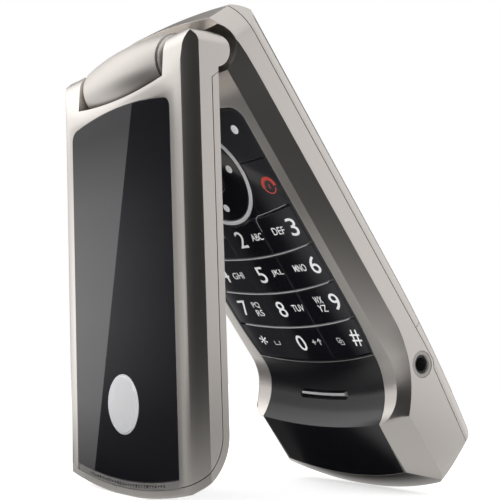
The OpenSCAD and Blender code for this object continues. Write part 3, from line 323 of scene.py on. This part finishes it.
def moulded(name, slot, colour, rough=0.5, grain=0.004, metallic=0.0):
    """Plain moulded, pressed or cast part with a fine spark-eroded grain."""
    finish = Finish(name, slot, {"Metallic": metallic})
    fine = finish.noise(3500, 2)
    broad = finish.noise(120, 2)
    dark = [0.85 * c for c in colour]
    light = [1.12 * c for c in colour]
    finish.set({
        "Base Color": finish.mix(fine * 0.6 + broad * 0.4, dark, light),
        "Roughness": rough - 0.06 + 0.12 * fine,
        "Normal": finish.bump(fine, grain, 0.6, finish.rounded(0.05)),
    })
    return finish


def ink(name, colour):
    """Printed ink with a faintly uneven film."""
    finish = Finish(name, "black_keys")
    film = finish.noise(2600, 2)
    finish.set({
        "Base Color": finish.mix(film, colour, [0.88 * c for c in colour]),
        "Roughness": 0.45 + 0.1 * film,
        "Normal": finish.bump(film, 0.001, 0.3),
    })
    return finish


def spun_badge():
    """Polished disc, turned in fine rings about its middle."""
    low, high = reach("badge_disc", LID)
    centre = [(a + b) / 2 for a, b in zip(low, high)]
    finish = Finish("badge_metal", "badge_metal", {"Metallic": 0.55})
    x, y, _ = finish.split(finish.place(LID, centre))
    radius = (x * x + y * y) ** 0.5
    ring_pitch = 0.1496
    rings = radius.waves(ring_pitch)
    wander = finish.noise(700, 2)
    finish.set({
        "Base Color": finish.mix(wander, (0.78, 0.78, 0.79), (0.70, 0.70, 0.715)),
        "Roughness": 0.24 + 0.05 * rings + 0.05 * wander,
        "Normal": finish.bump(rings, 0.0012, 0.35, finish.rounded(0.06)),
    })
    return finish


def woven_strip():
    """Dark woven strip with rows of fine bright knots."""
    finish = Finish("grille_metal", "grille_metal", {"Metallic": 0.7})
    x, y, _ = finish.split(finish.place(LID))
    pitch = 0.42
    knots = (x.waves(pitch) * y.waves(pitch)).above(0.15, 0.5)
    finish.set({
        "Base Color": finish.mix(knots, (0.045, 0.042, 0.040), (0.52, 0.51, 0.49)),
        "Roughness": 0.5 - 0.15 * knots,
        "Normal": finish.bump(knots, 0.03, 0.8),
    })
    return finish


def display_pane():
    """Hard-coated window: a black printed border round the dark pane of the display."""
    low, high = reach("display_panel", LID)
    centre = [(a + b) / 2 for a, b in zip(low, high)]
    border = 0.6
    half_w, half_l = [(high[i] - low[i]) / 2 - border for i in (0, 1)]
    finish = Finish("display_glass", "display_glass", {"IOR": 1.49})
    x, y, _ = finish.split(finish.place(LID, centre))
    inside = (half_w - abs(x)).above(0, 0.15) * (half_l - abs(y)).above(0, 0.15)
    haze = finish.noise(1800, 2)
    finish.set({
        "Base Color": finish.mix(inside, (0.006, 0.006, 0.007), (0.028, 0.034, 0.040)),
        "Roughness": 0.05 + 0.04 * haze,
        "Normal": finish.bump(haze, 0.0005, 0.3, finish.rounded(0.1)),
    })
    return finish


def socket_plastic():
    """Collar of the headset jack: mid grey on the rim, black down the bore."""
    low, high = reach("headset_jack", BASE)
    centre = [high[0], (low[1] + high[1]) / 2, (low[2] + high[2]) / 2]
    finish = Finish("jack_plastic", "dark_part")
    x, y, z = finish.split(finish.place(BASE, centre))
    radius = (y * y + z * z) ** 0.5
    bore_radius = 1.72
    rim_depth = 0.6
    rim = radius.above(bore_radius, 0.1) * x.above(-rim_depth, 0.2)
    grain = finish.noise(3000, 2)
    finish.set({
        "Base Color": finish.mix(rim, (0.008, 0.008, 0.008), (0.27, 0.255, 0.24)),
        "Roughness": 0.42 + 0.15 * grain,
        "Metallic": rim * 0.5,
        "Normal": finish.bump(grain, 0.004, 0.5, finish.rounded(0.08)),
    })
    return finish


SILVER = paint("silver_paint")
SATIN = paint("silver_satin", rough=0.46)
WINDOW_BLACK = gloss_black("window_black", "black_window", (0.0050, 0.0050, 0.0062), rough=0.008, ripples=0.1)
CHIN_BLACK = gloss_black("chin_black", "black_window", (0.0045, 0.0045, 0.0055), rough=0.17, ripples=0.2)
KEY_BLACK = gloss_black("key_black", "black_keys", (0.0055, 0.0055, 0.0075), rough=0.07)
BADGE = spun_badge()
STRIP = woven_strip()
TRIM = plated("trim_metal", "trim_metal", (0.74, 0.74, 0.75))
RING = plated("ring_metal", "trim_metal", (0.72, 0.72, 0.73), rough=0.3, metallic=0.5)
# Metal of the key ribs, and also of the strips that paint the highlight along the edges of the first and
# third keys
RIB_AND_HIGHLIGHT = plated("rib_metal_and_highlight", "trim_metal", (0.55, 0.55, 0.56), rough=0.35, metallic=0.4)
PANE = display_pane()
DARK_GLASS = gloss_black("display_dark", "display_dark", (0.03, 0.035, 0.04))
WHITE_FRAME = moulded("white_plastic", "white_plastic", (0.78, 0.78, 0.74))
MASK_GREEN = moulded("circuit_green", "circuit_green", (0.03, 0.15, 0.07), rough=0.35)
JACK = socket_plastic()
DARK = moulded("dark_plastic", "dark_part", (0.035, 0.035, 0.038))
STEEL = plated("steel", "steel", (0.46, 0.46, 0.47), rough=0.3)
TINNED = plated("tinned_steel", "tinned_steel", (0.6, 0.6, 0.61), rough=0.35)
RUBBER = moulded("rubber_black", "rubber_black", (0.02, 0.02, 0.02), rough=0.75, grain=0.01)
SILICONE = moulded("silicone", "silicone", (0.55, 0.53, 0.48), rough=0.55)
WRAP = moulded("battery_wrap", "battery_wrap", (0.10, 0.14, 0.22), rough=0.4, metallic=0.4)
PRINT = ink("print_white", (0.90, 0.90, 0.90))
PRINT_RED = ink("print_red", (0.52, 0.045, 0.03))
PRINT_GREEN = ink("print_green", (0.03, 0.36, 0.06))

# ---------- modelling helpers ----------


def only(piece):
    """Selects one piece and nothing else."""
    bpy.ops.object.select_all(action="DESELECT")
    piece.select_set(True)
    bpy.context.view_layer.objects.active = piece


def modify(piece, kind, **settings):
    """Adds a modifier and applies it."""
    only(piece)
    modifier = piece.modifiers.new(kind.lower(), kind)
    for key, value in settings.items():
        setattr(modifier, key, value)
    bpy.ops.object.modifier_apply(modifier=modifier.name)


def soften(piece, width, segments=2, angle=32):
    """Rounds every sharp edge of a piece by a width in millimetres."""
    modify(piece, "BEVEL", width=width * MM, segments=segments, limit_method="ANGLE",
        angle_limit=math.radians(angle), harden_normals=False, use_clamp_overlap=True)


def coat(piece, finish, smooth):
    """Gives a piece its finish, and smooth shading over edges of less than smooth degrees."""
    piece.data.materials.clear()
    piece.data.materials.append(finish.material)
    only(piece)
    bpy.ops.object.shade_smooth_by_angle(angle=math.radians(smooth))


def weigh(piece):
    """Lets the large faces of a piece set the shading of its rounded edges."""
    modify(piece, "WEIGHTED_NORMAL", keep_sharp=True, weight=80)


# A face of a merged shell under this area, in square millimetres, is a sliver
SLIVER = 0.02 * MM * MM
# How many rings of faces round a sliver are searched for a larger one
SLIVER_RINGS = 3


def steady_normal(face):
    """The normal of a face or, for a sliver, that of the likest larger face near it."""
    near = {face}
    for _ in range(SLIVER_RINGS):
        if any(other.calc_area() >= SLIVER for other in near):
            break
        near |= {other for inner in near for corner in inner.verts for other in corner.link_faces}
    large = [other for other in near if other.calc_area() >= SLIVER] or [face]
    return max(large, key=lambda other: other.normal.dot(face.normal)).normal


def calm(piece, smooth):
    """Sets the normals of a merged shell, so that slivers shade as the larger faces beside them do.

    Each corner averages the faces round it whose normals lie within smooth degrees of its own face's.
    """
    mesh = bmesh.new()
    mesh.from_mesh(piece.data)
    steady = {face: steady_normal(face) for face in mesh.faces}
    alike = math.cos(math.radians(smooth))
    normals = []
    for face in mesh.faces:
        for corner in face.loops:
            near = [other for other in corner.vert.link_faces if steady[other].dot(steady[face]) > alike]
            total = sum((steady[other] * other.calc_area() for other in near), Vector())
            normals.append(total.normalized() if total.length else steady[face])
    mesh.free()
    piece.data.normals_split_custom_set(normals)


def merged_copy(node, merge, flatness):
    """A copy of a CAD node. Corners within merge millimetres and faces within flatness degrees become one."""
    source = frame["nodes"][node]
    piece = source.copy()
    piece.data = source.data.copy()
    piece.name = node + "_shell"
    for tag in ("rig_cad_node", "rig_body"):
        del piece[tag]
    piece.parent = None
    scene.collection.objects.link(piece)
    only(piece)
    bpy.ops.object.mode_set(mode="EDIT")
    bpy.ops.mesh.select_mode(type="VERT")
    bpy.ops.mesh.select_all(action="SELECT")
    bpy.ops.mesh.remove_doubles(threshold=merge * MM)
    bpy.ops.mesh.dissolve_degenerate(threshold=merge * MM)
    bpy.ops.mesh.dissolve_limited(angle_limit=math.radians(flatness))
    bpy.ops.object.mode_set(mode="OBJECT")
    return piece


def take_place(piece, node):
    """Puts a piece in the place of a CAD node, on the node's own body."""
    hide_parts(node)
    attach(piece, frame["nodes"][node]["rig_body"])


def dress(node, finish, width=0, segments=2):
    """Dresses a small piece, with its sharp edges rounded by a width in millimetres."""
    piece = merged_copy(node, 0.004, 0.25)
    if width:
        soften(piece, width, segments)
    coat(piece, finish, 28)
    weigh(piece)
    take_place(piece, node)


def dress_shell(node, finish, flatness=0.08):
    """Dresses a moulded shell, whose long curved faces keep an even shade."""
    smooth = 20
    piece = merged_copy(node, 0.006, flatness)
    coat(piece, finish, smooth)
    calm(piece, smooth)
    take_place(piece, node)


# ---------- shells and plates ----------

HOUSINGS = {
    "lid_front_housing": SILVER, "lid_inner_housing": SILVER, "hinge_knuckle": SATIN,
    "base_front_housing": SILVER, "rear_housing": SILVER, "battery_cover": SILVER,
}
for name, finish in HOUSINGS.items():
    dress_shell(name, finish)
dress("front_window", WINDOW_BLACK, 0.1)
dress_shell("chin_cover", CHIN_BLACK)
dress("badge_disc", BADGE, 0.08)
dress("speaker_grille", STRIP)
dress("display_lens", PANE, 0.12)
dress_shell("mic_bar", TRIM, 0.25)
dress("volume_key", SILVER, 0.25, 3)
dress("headset_jack", JACK)
dress("usb_port", TINNED)
dress("lid_bumpers", RUBBER, 0.25, 3)
dress("nav_ring", RING, 0.16, 3)
dress("key_ribs", RIB_AND_HIGHLIGHT, 0.05)
dress("key_frame", KEY_BLACK)

KEYS = ["nav_disc", "end_key"] + ["key_%d" % number for number in range(10)]
KEYS += ["key_hash", "key_star", "select_key", "send_key", "soft_key_left", "soft_key_right"]
for name in KEYS:
    dress(name, KEY_BLACK, 0.1)

# Pieces inside, which keep the CAD mesh
HIDDEN = {
    "display_panel": DARK_GLASS, "outer_display": DARK_GLASS, "backlight_frame": WHITE_FRAME,
    "lid_circuit_board": MASK_GREEN, "main_circuit_board": MASK_GREEN, "earpiece": DARK,
    "loudspeaker": DARK, "hinge_bush": DARK, "nav_pivot": DARK, "antenna": DARK, "lid_screws": STEEL,
    "base_screws": STEEL, "hinge_shaft": STEEL, "hinge_cartridge": STEEL, "hinge_spring": STEEL,
    "microphone": STEEL, "vibration_motor": STEEL, "motor_weight": STEEL, "shield_cans": TINNED,
    "sim_holder": TINNED, "dome_sheet": TINNED, "keypad_membrane": SILICONE, "battery": WRAP,
}
for name, finish in HIDDEN.items():
    node = frame["nodes"][name]
    node.data.materials.clear()
    node.data.materials.append(finish.material)

# ---------- printed legends ----------

PRINT_RISE = 0.012
PRINT_DEPTH = 0.05
DIGIT_TALL = 3.7
STAR_TALL = 2.3
DIGIT_WIDE = 2.45
SPECIAL_WIDE = {"1": 1.45, "*": 2.2, "#": 2.6}
DIGIT_WEIGHT = 0.003
LETTER_TALL = 1.55
LETTER_WIDE = 1.16
LETTER_PITCH = 1.9
LETTER_WEIGHT = 0.004
SIGN_LINE = 0.22
COPY_LINE = 0.18
# How much nearer the hinge than the middle of its key a legend sits
LEGEND_LIFT = 0.25
# Radius of the curve that each row of keys follows
ROW_RADIUS = 91


def flat(piece, scale, shift):
    """Lays a flat mark on the keypad with its top just over the keys."""
    height = KEY_TOP + PRINT_RISE - PRINT_DEPTH / 2
    piece.data.transform(Matrix.Translation(spot(*shift, height)) @ Matrix.Diagonal((*scale, 1)))
    return piece


def raised_text(text, across, along, tall, wide, weight):
    """Flat lettering of a given height and width in millimetres, on the keypad."""
    bpy.ops.object.select_all(action="DESELECT")
    bpy.ops.object.text_add()
    letters = bpy.context.object
    letters.data.body = text
    letters.data.extrude = 0.01
    letters.data.offset = weight
    letters.data.resolution_u = 6
    bpy.ops.object.convert(target="MESH")
    only(letters)
    corners = [Vector(c) for c in letters.bound_box]
    low = Vector([min(c[i] for c in corners) for i in range(3)])
    high = Vector([max(c[i] for c in corners) for i in range(3)])
    size = high - low
    letters.data.transform(Matrix.Translation(-(low + high) / 2))
    scale = (wide * MM / size.x, tall * MM / size.y, PRINT_DEPTH * MM / size.z)
    return flat(letters, scale, (across, along))


def stroke(points, width, closed=False):
    """A flat printed line through places on the keypad, as wide as width."""
    bpy.ops.object.select_all(action="DESELECT")
    bpy.ops.curve.primitive_nurbs_path_add()
    line = bpy.context.object
    line.data.splines.clear()
    path = line.data.splines.new("POLY")
    path.points.add(len(points) - 1)
    for point, (across, along) in zip(path.points, points):
        point.co = (*spot(across, along, 0), 1)
    path.use_cyclic_u = closed
    line.data.bevel_depth = width * MM / 2
    line.data.bevel_resolution = 2
    line.data.use_fill_caps = True
    bpy.ops.object.convert(target="MESH")
    return flat(bpy.context.object, (1, 1, PRINT_DEPTH / width), (0, 0))


def dot(across, along, size):
    """A round printed mark."""
    bpy.ops.object.select_all(action="DESELECT")
    bpy.ops.mesh.primitive_cylinder_add(vertices=32, radius=size * MM / 2, depth=PRINT_DEPTH * MM)
    mark = bpy.context.object
    soften(mark, PRINT_DEPTH / 4, 1, 60)
    return flat(mark, (1, 1, 1), (across, along))


ARC_STEPS = 18


def arc(across, along, radius, start, end):
    """Places along an arc, with start and end in degrees from across towards the hinge."""
    turns = [math.radians(start + (end - start) * step / ARC_STEPS) for step in range(ARC_STEPS + 1)]
    return [(across + radius * math.cos(t), along - radius * math.sin(t)) for t in turns]


def bow(across):
    """How much nearer the hinge a row of keys lies at a distance from the middle."""
    return across * across / (2 * ROW_RADIUS)


def join(name, pieces):
    """Joins pieces into one with a name."""
    only(pieces[0])
    for piece in pieces[1:]:
        piece.select_set(True)
    if len(pieces) > 1:
        bpy.ops.object.join()
    pieces[0].name = name
    pieces[0].data.name = name
    return pieces[0]


def print_on(name, body, finish, marks):
    """Makes one print of some marks, lays it on the base and lets it ride on a body."""
    piece = join(name, marks)
    only(piece)
    bpy.ops.object.transform_apply(location=True, rotation=True, scale=True)
    piece.data.transform(BASE)
    coat(piece, finish, 35)
    weigh(piece)
    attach(piece, body)


# Places of the numbers and letters by column: across, and how far a number sits below its row
DIGIT_SPOT = {-1: (-13.2, 0), 0: (-1.5, 0), 1: (15.0, 0.3)}
LETTER_SPOT = {-1: -8.9, 0: 3.6, 1: 10.6}
# Number keys by row and column, each with its number and the standard telephone letters
LEGENDS = [
    [("key_1", "1", []), ("key_2", "2", ["ABC"]), ("key_3", "3", ["DEF"])],
    [("key_4", "4", ["GHI"]), ("key_5", "5", ["JKL"]), ("key_6", "6", ["MNO"])],
    [("key_7", "7", ["PQ", "RS"]), ("key_8", "8", ["TUV"]), ("key_9", "9", ["WX", "YZ"])],
    [("key_star", "*", []), ("key_0", "0", []), ("key_hash", "#", [])],
]


def extra_marks(key):
    """Small plain signs beside the numbers of the last row."""
    if key == "key_star":
        space = [(-9.9, 59.9), (-9.9, 60.8), (-8.3, 60.8), (-8.3, 59.9)]
        return [stroke(space, SIGN_LINE)]
    if key == "key_0":
        plus = [[(1.9, 60.4), (3.1, 60.4)], [(2.5, 59.8), (2.5, 61.0)]]
        arrow = [[(3.6, 60.3), (4.15, 59.65), (4.7, 60.3)], [(4.15, 59.8), (4.15, 61.1)]]
        return [stroke(line, SIGN_LINE) for line in plus + arrow]
    if key == "key_hash":
        back = [(9.5, 59.6), (10.5, 59.6), (10.5, 60.6), (9.5, 60.6)]
        front = [(10.0, 60.1), (11.0, 60.1), (11.0, 61.1), (10.0, 61.1)]
        return [stroke(sheet, COPY_LINE, closed=True) for sheet in (back, front)]
    return []


def key_legends():
    """Numbers, letters and signs of the twelve number keys."""
    for row in LEGENDS:
        low, high = reach(row[1][0], BASE)
        middle = (low[1] + high[1]) / 2 - LEGEND_LIFT
        for column, (key, digit, letters) in zip((-1, 0, 1), row):
            across, drop = DIGIT_SPOT[column]
            along = middle - bow(across) + drop
            tall = STAR_TALL if digit == "*" else DIGIT_TALL
            wide = SPECIAL_WIDE.get(digit, DIGIT_WIDE)
            marks = [raised_text(digit, across, along, tall, wide, DIGIT_WEIGHT)]
            across = LETTER_SPOT[column]
            for line, text in enumerate(letters):
                along = middle - bow(across) + LETTER_PITCH * (line - (len(letters) - 1) / 2)
                wide = LETTER_WIDE * len(text)
                marks.append(raised_text(text, across, along, LETTER_TALL, wide, LETTER_WEIGHT))
            print_on(key + "_print", key + "_body", PRINT, marks + extra_marks(key))


def handset(across, along):
    """A lifted handset: a thick arc with fuller ends."""
    radius = 1.25
    body = stroke(arc(across, along, radius, 10, 185), 0.62)
    ends = [[(across + x, along - 0.2), (across + 0.86 * x, along + 0.42)] for x in (-radius, radius)]
    return [body] + [stroke(end, 0.72) for end in ends]


def call_marks():
    """Signs of the send and end keys, and the dots of the soft keys and the navigation disc."""
    print_on("send_key_print", "send_key_body", PRINT_GREEN, handset(-14.87, 26.1))
    across, along = 14.95, 26.35
    over = stroke(arc(across, along, 1.5, -5, 190), 0.95)
    under = stroke(arc(across, along, 1.55, 190, 340), 0.3)
    bar = stroke([(across, along - 0.35), (across, along + 0.55)], 0.3)
    print_on("end_key_print", "end_key_body", PRINT_RED, [over, under, bar])
    for side, key in ((-1, "soft_key_left"), (1, "soft_key_right")):
        print_on(key + "_print", key + "_body", PRINT, [dot(side * 14.27, 14.73, 1.75)])
    spots = [(6.8, 21.5), (-6.8, 21.5), (-0.3, 28.9), (0, 15.1)]
    print_on("nav_disc_print", "nav_plate", PRINT, [dot(*place, 1.6) for place in spots])


def paint_key_edge_highlights():
    """Thin bright strips just over the keys that paint the highlight along the inner top edges of the first
    and third number keys.
    """
    edge = [(across, 31.95 - bow(across)) for across in (16.5, 14.5, 12.5, 10.5, 8.8, 7.4)]
    bend = [(6.6, 32.0), (6.15, 32.5), (6.05, 33.2), (6.0, 35.0)]
    for side, key in ((-1, "key_1"), (1, "key_3")):
        line = [(side * across, along) for across, along in edge + bend]
        # Each strip is a painted highlight of the key's edge, made in the rib metal
        print_on(key + "_outline", key + "_body", RIB_AND_HIGHLIGHT, [stroke(line, 0.12)])


key_legends()
call_marks()
paint_key_edge_highlights()

# ---------- light ----------


# Strength of the world as a light. To the eye it is 1
WORLD_LIGHT = 0.9
# What the floor's glow adds to its look, and not to the light
FLOOR_GLOW = 0.5
# A card or a floor has no gloss of its own
MATT = {"Roughness": 1.0, "Specular IOR Level": 0.0}


def grey(level):
    """A grey colour of a level from 0 to 1, or brighter for a light."""
    return (level, level, level)


def add_world():
    """White all round, and a touch dimmer as a light than to the eye."""
    world = bpy.data.worlds.new("studio")
    scene.world = world
    world.use_nodes = True
    shader = Shader(world.node_tree)
    strength = WORLD_LIGHT + (1 - WORLD_LIGHT) * shader.seeing_rays()
    shader.feed(world.node_tree.nodes["Background"], {"Color": (1, 1, 1, 1), "Strength": strength})


def add_floor():
    """Pale floor that glows to the camera, and otherwise only takes light and shadow."""
    bpy.ops.object.select_all(action="DESELECT")
    bpy.ops.mesh.primitive_plane_add(size=12, location=(0, 0, 0))
    floor = bpy.context.object
    floor.name = "floor"
    finish = Finish("floor_white", None, {**MATT, "Base Color": (*grey(0.86), 1), "Roughness": 0.9})
    glow = finish.mix(finish.seeing_rays(), grey(0), grey(FLOOR_GLOW))
    finish.set({"Emission Color": glow, "Emission Strength": 1.0})
    floor.data.materials.append(finish.material)


def card(name, stand, size, level, strength=1.0):
    """A flat card that only reflections see, in the x and y plane of the matrix stand.

    level makes its brightness from the place on the card in millimetres.
    """
    bpy.ops.object.select_all(action="DESELECT")
    bpy.ops.mesh.primitive_plane_add(size=1)
    piece = bpy.context.object
    piece.name = name
    piece.data.transform(stand @ Matrix.Diagonal((*size, 1, 1)))
    finish = Finish(name, None, {**MATT, "Base Color": (0, 0, 0, 1)})
    x, y, _ = finish.split(finish.place(stand))
    finish.set({"Emission Color": level(finish, x, y), "Emission Strength": strength})
    piece.data.materials.append(finish.material)
    for rays in ("camera", "diffuse", "shadow", "transmission"):
        setattr(piece, "visible_" + rays, False)


# What the cards and the lamps look at
CARD_AIM = Vector((0, 0, 0.04))
LAMP_AIM = Vector((0, 0, 0.045))


def facing(azimuth, height, distance):
    """Matrix of a card at a bearing in degrees, turned from -Y towards +X, that looks at the phone."""
    turn = math.radians(azimuth)
    place = Vector((math.sin(turn) * distance, -math.cos(turn) * distance, height))
    return Matrix.Translation(place) @ (CARD_AIM - place).to_track_quat("Z", "Y").to_matrix().to_4x4()


def ramp(finish, value, stops):
    """A grey read from stops of (place, level) along a value."""
    low, high = stops[0][0], stops[-1][0]
    stops = [((place - low) / (high - low), grey(level)) for place, level in stops]
    return finish.node("ValToRGB", {"stops": stops}, {0: (value - low) / (high - low)})


def mirror_card(name, far, margin, level, strength=1.0):
    """A card that the camera sees mirrored in the window, and larger than it by margin millimetres.

    It stands far times as far away as the window does from the camera's mirror image. level takes the place
    on the window, across and along, in millimetres.
    """
    low, high = reach("front_window", LID)
    middle = LID @ spot((low[0] + high[0]) / 2, (low[1] + high[1]) / 2, LID_TOP)
    out = LID.to_3x3() @ Vector((0, 0, 1))
    eye = camera.matrix_world.to_translation()
    mirrored = eye - 2 * (eye - middle).dot(out) * out
    stand = Matrix.Translation(mirrored + far * (middle - mirrored)) @ LID.to_3x3().to_4x4()
    size = [(high[i] - low[i] + margin) * far * MM for i in (0, 1)]
    centre = (low[1] + high[1]) / 2
    card(name, stand, size, lambda finish, x, y: level(finish, x / far, centre - y / far), strength)


def window_level(finish, across, along):
    """A bright panel on the left, a dark one on the right, and a slanted edge between."""
    left = ramp(finish, along, [(10, 0.30), (22, 0.56), (31, 0.66), (42, 0.72), (50, 0.68), (58, 0.60),
        (63, 0.44), (70, 0.24)])
    right = ramp(finish, along, [(10, 0.04), (18, 0.08), (24, 0.15), (33, 0.21), (44, 0.21), (52, 0.15),
        (60, 0.05), (70, 0.0)])
    fade = finish.mix((across + 8) / 25, grey(1), grey(0.35))
    slanted = across + 0.256 * along
    return finish.mix(slanted.above(6.9, 0.12), left, finish.dimmed(right, fade))


def face_level(finish, across, along):
    """What the lacquer round the window mirrors: light at the top and on the left, mid grey on the right."""
    down = ramp(finish, along, [(-4, 2.2), (5, 1.9), (13, 1.1), (30, 0.85), (75, 0.8)])
    side = finish.mix((across + 20) / 40, grey(1), grey(0.62))
    return finish.dimmed(down, side)


def floor_level(finish, x, y):
    """What the lower faces mirror from the floor: greys that part along lines, x and y in millimetres."""
    near = x.between(-190, 180, 80, 60) * y.between(-160, 80, 60, 50)
    ground = finish.mix(near, grey(1.0), finish.mix(y.above(-10, 90), grey(0.40), grey(0.70)))
    # Dark on the right, for the lacquered slope beside the keys
    ground = finish.mix(x.between(78, 420, 40, 80), ground, grey(0.01))
    # The key field mirrors a slanted band, and what lies left of it is bright, for the scoop
    slant = x - 1.15 * y
    left = (-60 - slant).above(0, 6) * x.above(-220, 60)
    ground = finish.mix(left, ground, grey(1.4))
    # Dark in front, for the rolled edge of the lid
    front = (x - 0.36 * y).above(0, 60) * (-80 - y).above(0, 60)
    ground = finish.mix(front, ground, grey(0.02))
    # The band itself is dark, and its edge steps right for the chin
    band_end = 12 * y.above(14, 10) - 20
    band = slant.above(-60, 6) * (band_end - slant).above(0, 8) * y.between(-90, 27, 20, 4)
    tone = finish.mix(slant.above(-41, 0.6), grey(0.13), grey(0.0))
    return finish.mix(band, ground, tone)


def plain_card(name, azimuth, height, distance, size, low, high, strength=1.0, axis=1):
    """A card that grades from a level at its foot to one at its head, or from left to right with axis 0."""
    half = size[axis] / MM / 2
    card(name, facing(azimuth, height, distance), size,
        lambda finish, *place: ramp(finish, place[axis], [(-half, low), (half, high)]), strength)


def lamp(name, place, size, power):
    """A soft lamp that looks at the phone and has no reflection."""
    data = bpy.data.lights.new(name, "AREA")
    data.shape = "RECTANGLE"
    data.size, data.size_y = size
    data.energy = power
    piece = bpy.data.objects.new(name, data)
    scene.collection.objects.link(piece)
    piece.location = place
    piece.rotation_euler = (LAMP_AIM - Vector(place)).to_track_quat("-Z", "Y").to_euler()
    piece.visible_glossy = False


add_world()
add_floor()
mirror_card("window_card", 1.08, 2.5, window_level, 2.4)
mirror_card("face_card", 1.2, 26, face_level)
card("floor_card", Matrix.Translation((0, 0, 0.0001)), (1.2, 1.2), floor_level)
plain_card("roll_card", 26, 0.16, 0.42, (1.20, 0.60), 0.05, 0.0, axis=0)
plain_card("side_card", 113, 0.10, 0.45, (0.13, 0.5), 0.55, 0.65)
plain_card("back_card", -126, 0.30, 0.6, (1.1, 0.75), 0.01, 0.10)
plain_card("top_card", -66, 0.75, 0.8, (0.7, 0.5), 1.5, 1.5)
plain_card("soft_box", -40, 0.42, 0.55, (0.9, 0.45), 0.8, 1.0, 2.0)
lamp("key_lamp", (-0.35, -0.45, 0.55), (0.5, 0.5), 2.6)
lamp("side_lamp", (0.7, 0.1, 0.35), (0.4, 0.6), 1.0)
lamp("fill_lamp", (0.5, -0.38, 0.05), (0.3, 0.1), 3.0)
